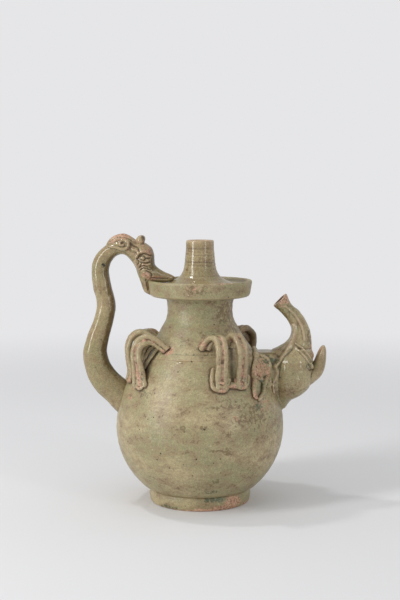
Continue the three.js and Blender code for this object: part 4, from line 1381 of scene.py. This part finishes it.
spoutSettings = {
    "back": {
        "outer": [(44, 88), (44, 100), (44, 120), (44, 134), (44, 141), (46, 145.4)],
        "inner": [(80, 88), (88, 100), (92, 120), (92, 134), (90, 141), (78, 146.4)],
        "widths": [14, 32, 38, 36, 31, 20],
        "count": 50,
        "sides": 48,
    },
    "cheek": {
        "outer": [(76, 90), (71, 96), (69, 104), (68.6, 115), (69.6, 126), (72, 136), (77, 144), (84, 150)],
        "inner": [
            (82.5, 90), (88.5, 97.6), (98.6, 103.6), (107, 112.4), (108.6, 124), (109.2, 134),
            (109.4, 140.4), (107.4, 148),
        ],
        "widths": [9, 22, 35, 44.5, 46, 44, 37, 28],
        "count": 60,
        "sides": 48,
        "boxy": 2.2,
    },
    "trunk": {
        "outer": [
            (62, 140), (68.6, 146.6), (76, 150.2), (82.4, 154), (86.4, 158.8), (87.9, 164.5), (86.9, 170.6),
            (84, 176.4), (80, 181), (75.6, 185.2), (72.6, 187.6), (70.6, 189.9),
        ],
        "inner": [
            (106, 133), (110.4, 140.6), (108.3, 147.6), (108.0, 155), (107.4, 161.8), (105.8, 167.8),
            (103.2, 173.8), (99.4, 180), (94.7, 186.1), (89.6, 190.2), (86.4, 194.6), (83.2, 201.6),
        ],
        "widths": [34, 30, 26, 22.6, 19.6, 17.4, 16, 15, 14.4, 14.4, 15.8, 17.4],
        "count": 90,
    },
    "jaw": {
        "outer": [
            (96, 120), (104, 128), (109, 134), (111.5, 139.3), (113, 142.6), (114.8, 146), (116.8, 149.2),
            (118.6, 151.2),
        ],
        "inner": [
            (103, 109.4), (112.5, 116.0), (118.3, 122.6), (121.6, 131.4), (122.7, 138.6), (122.5, 145),
            (121.6, 149), (120.6, 151.4),
        ],
        "widths": [24, 21, 18.5, 16.5, 14.5, 12, 9, 4],
        "count": 50,
        "sides": 32,
    },
    "boreWall": 2.9,
    "lips": [
        [(91.4, 154.6), (95.0, 152.2), (98.9, 149.0), (102.8, 144.3), (105.8, 140.1), (108.8, 136.0)],
        [(91.6, 150.8), (94.6, 148.2), (97.6, 145.2), (101.1, 140.9), (104.0, 136.6), (105.4, 133.4)],
    ],
    "lipRadius": [0.5, 0.95, 1.05, 1.05, 0.95, 0.6],
    "tear": (106.0, 133.6),
    "tearRadii": (2.6, 1.7, 4.2),
    "tearTurn": -30,
    "voxel": 0.5,
    "smoothing": 5,
}

# Lines of the elephant's face, as on the dragon
spoutStrokes = [
    (
        [
            (90.4, 172), (91.6, 164.4), (89.8, 157.6), (86.4, 151.8), (81.6, 145.0), (76.6, 138.8),
            (71.6, 133.0),
        ],
        1.9, 1.9,
    ),
    ([(84.6, 154.0), (79.4, 147.6), (74.0, 141.6), (69.4, 136.0)], 1.9, -0.5),
    ([(72.6, 131.8), (74.0, 127.0), (72.0, 122.0), (69.4, 117.0)], 1.8, 1.0),
    ([(82.0, 190.0), (90.4, 182.4), (95.8, 174.2), (98.9, 166.2), (100.0, 157.8)], 1.1, 0.9),
    ([(103.4, 131.2), (105.4, 128.9), (108.6, 129.2)], 0.9, -0.35),
    ([(88.9, 127.3), (94.5, 124.0), (100.2, 119.6), (103.7, 116.4)], 2.4, -0.4),
    ([(110.6, 138.6), (112.0, 142.6), (114.0, 146.4)], 1.0, -0.5),
    ([(104.8, 160.0), (106.0, 154.0), (106.4, 149.0)], 1.2, -0.6),
]

# The strokes along which a pale line is painted: thin glaze, and a painted highlight along the crest
paleStrokes = (0, 3)

spoutMarks = {
    "bare": [
        ((78, 0, 196), (9, 12, 7.0), 0.78), ((109.5, -4, 143), (3, 8, 7), 0.75),
        ((115, 0, 148), (3.2, 6, 6), 0.6), ((107.5, -8, 150), (2, 5, 4), 0.7),
        ((75, -16, 145), (4, 6, 3), 0.35),
    ],
    "pool": [
        ((68, -19, 138.6), (7, 8, 3.0), 0.9), ((76.3, -22, 123.1), (1.2, 4, 1.2), 0.9),
        ((62, -20, 143), (9, 10, 3), 0.45), ((103, -16, 133), (3, 6, 3), 0.5),
        ((68, -24, 116), (2, 8, 8), 0.7),
    ],
    "brownAndShade": [
        ((66, -14, 143), (14, 12, 3.2), 0.55), ((76, -12, 149), (7, 10, 2.6), 0.6),
        ((90, -18, 112), (14, 14, 9), 0.4), ((86, -10, 190), (8, 12, 10), 0.4),
        ((105.5, -8, 160), (3, 10, 14), 0.5), ((72, -20, 108), (7, 12, 9), 0.5),
    ],
    "wet": [((76, -18, 138), (8, 12, 9), 0.9), ((92, -10, 168), (16, 14, 26), 0.6)],
}


def boreTrunk(spout):
    # Opens the tube from the mouth down into the head; the bore runs on past the mouth
    s = spoutSettings
    outer, inner, widths = (s["trunk"][key] for key in ("outer", "inner", "widths"))
    beyond = np.array(outer[-1]) - outer[-3]
    outer = outer[1:] + [tuple(np.array(outer[-1]) + beyond)]
    inner = inner[1:] + [tuple(np.array(inner[-1]) + beyond)]
    widths = widths[1:] + [widths[-1]]
    rings = edgeRings(outer, inner, widths, count=60, sides=32, grow=-s["boreWall"])
    bore = drawClay("trunkBore", rings)
    applyModifier(spout, "BOOLEAN", operation="DIFFERENCE", object=bore, solver="EXACT")
    bpy.data.objects.remove(bore)
    choose(spout)
    bpy.ops.object.shade_smooth_by_angle(angle=math.radians(50))


def makeSpout():
    s = spoutSettings
    back, cheek, trunk, jaw = (
        drawClay(form, edgeRings(**s[form])) for form in ("back", "cheek", "trunk", "jaw")
    )
    surface = treeOf(cheek, trunk)
    parts = [back, cheek, trunk, jaw]
    for side in (-1, 1):
        for line in s["lips"]:
            parts.append(rollCoil("lipCoil", layOn(surface, line, 60, 0.2, side), s["lipRadius"]))
        tear = layOn(surface, [s["tear"], s["tear"]], 2, 0.1, side)[0]
        parts.append(pressBall("lipDrop", tear, s["tearRadii"], s["tearTurn"]))
    spout = workTogether("elephantSpout", parts, s["voxel"], s["smoothing"])
    pressStrokes(spout, spoutStrokes)
    handMarks(spout, reach=15, depth=0.6, seed=4)
    handMarks(spout, reach=4.5, depth=0.16, seed=5)
    boreTrunk(spout)
    markCreases(spout)
    paintMarks(spout, spoutMarks)
    # Surfaces turned downwards are browned with painted shade
    paintFacing(spout, "brownAndShade", (-0.4, 0, -1), low=0.35, high=0.8, strength=0.5)
    skin = treeOf(spout)
    # A pale line along these ridges, partly thin glaze and partly a painted highlight
    for number in paleStrokes:
        paintLine(spout, "ridge", layOn(skin, spoutStrokes[number][0], 40), 0.7, 0.5)
    finishPiece(
        spout, glazeCoil, "celadon_glaze", "spout_head", "spout_trunk", "spout_lower_jaw",
        "spout_curl_near", "spout_curl_far",
    )
    return spout


# Ears: two strips with a web between them, from the neck down to a shared tip

earSettings = {
    "root": [(44.6, 160), (46.6, 156.6), (49.2, 152), (51.2, 147.6), (52.6, 143), (52.8, 138)],
    "leftStrip": [
        (53, 143), (50.6, 138.6), (49.4, 133), (49.4, 128), (50, 123.6), (49.2, 119), (49.1, 114.2),
        (50.2, 110.4), (52, 108),
    ],
    "rightStrip": [
        (54, 142.6), (59, 142), (63.6, 139.6), (66.2, 135.4), (65.9, 130), (64.2, 125), (61, 121.6),
        (58.8, 117), (57.6, 112.4), (55.4, 108.8), (52.8, 107.2),
    ],
    "farStrip": [(65.8, 130), (65.6, 124), (66.8, 119), (68.6, 114.3), (69.8, 108.6)],
    "farRadius": [1.9, 1.7, 1.5, 1.2, 0.8],
    "rootRadius": [2.2, 2.7, 2.8, 2.6, 2.2],
    "stripRadius": [1.6, 2.1, 2.3, 2.3, 2.1, 1.7],
    "webSteps": 40,
    "webTop": 141.0,
    "webFoot": 122.0,
    "lift": 1.6,
    "voxel": 0.45,
    "smoothing": 4,
}

# Marks on an ear: centre and radii in the XZ plane, and strength; they go right through it
earMarks = {
    "bare": [
        ((51.4, 111.6), (2.8, 4.4), 0.95), ((64.4, 129), (2.4, 5), 0.85),
        ((57, 132.5), (7.4, 9), 0.66), ((49.4, 122), (1.6, 6), 0.6),
    ],
    "pool": [((62, 138.4), (5, 2.6), 0.8), ((56.5, 119), (3, 5), 0.8)],
    # painted shade in the small hole at the tip
    "hollow": [((51.6, 112.4), (0.9, 1.0), 0.9)],
}


def makeEar(name, node, side, wall):
    s = earSettings
    parts = [
        rollCoil("earRoot", layOn(wall, s["root"], 60, 1.2, side), s["rootRadius"]),
        rollCoil("earLeft", layOn(wall, s["leftStrip"], 90, s["lift"], side), s["stripRadius"]),
        rollCoil("earRight", layOn(wall, s["rightStrip"], 90, s["lift"], side), s["stripRadius"]),
        rollCoil("earFar", layOn(wall, s["farStrip"], 60, 0.6, side), s["farRadius"]),
    ]
    steps = s["webSteps"]
    heights = np.linspace(s["webTop"], s["webFoot"], steps)
    edges = []
    for strip in (s["leftStrip"], s["rightStrip"]):
        x = np.interp(-heights, [-z for _, z in strip], [x for x, _ in strip])
        edges.append(layOn(wall, list(zip(x, heights)), steps, 1.0, side))
    a, b = edges
    half = np.linalg.norm(b - a, axis=1) / 2
    rank = np.arange(steps)
    thick = 1.1 * np.sqrt(np.clip(np.minimum(rank, rank[::-1]) / 4, 0.02, 1))
    parts.append(rollStrip("earWeb", (a + b) / 2, b - a, half, thick + 0.4))
    ear = workTogether(name, parts, s["voxel"], s["smoothing"])
    handMarks(ear, reach=8, depth=0.9, seed=6 + side)
    handMarks(ear, reach=3, depth=0.42, seed=9 + side)
    markCreases(ear)
    paintMarks(ear, {
        mask: [((x, side * 40, z), (wide, 30, high), strength) for (x, z), (wide, high), strength in spots]
        for mask, spots in earMarks.items()
    })
    finishPiece(ear, glazeCoil, "celadon_glaze", node)
    return ear


# Seams where applied clay meets the thrown wall, darkened with painted shade where glaze also gathers: how
# far the shade reaches, the lowest and highest place, and the height under which the clay shows
seamSettings = {
    "reach": 5.0,
    "low": 76,
    "high": 176,
    "bareUnder": 128,
}


def paintSeams(pot, applied):
    s = seamSettings
    coords = coordsOf(pot)
    near = np.zeros(len(coords))
    for i in np.nonzero((coords[:, 2] > s["low"]) & (coords[:, 2] < s["high"]))[0]:
        hit = applied.find_nearest(Vector(coords[i]), s["reach"])
        if hit[0] is not None:
            near[i] = 1 - hit[3] / s["reach"]
    # Painted shade and browning close to the applied pieces
    paint(pot, "hollow", np.clip((near - 0.62) / 0.3, 0, 1))
    paint(pot, "brownAndShade", 0.5 * near)
    paint(pot, "bare", 0.46 * near * (coords[:, 2] < s["bareUnder"]))


makeCamera()
makeWorld()
makeFloor()
for lampName, values in lampSettings.items():
    makeLamp(lampName, **values)
print("stage ready")

makeFoot()
body = makeBody()
neck = makeNeck()
makeDish()
makeTube()
print("thrown pieces ready")

handle = makeDragon()
print("handle and dragon head ready")

loops = [makeLoop(name, **place) for name, place in loopPlaces.items()]
print("loops ready")

spout = makeSpout()
wallTree = treeOf(body, neck, spout)
ears = [
    makeEar("spoutEarNear", "spout_ear_near", -1, wallTree),
    makeEar("spoutEarFar", "spout_ear_far", 1, wallTree),
]
print("elephant spout ready")

appliedTree = treeOf(handle, spout, *loops, *ears)
for pot in (body, neck):
    paintSeams(pot, appliedTree)
print("seams painted")
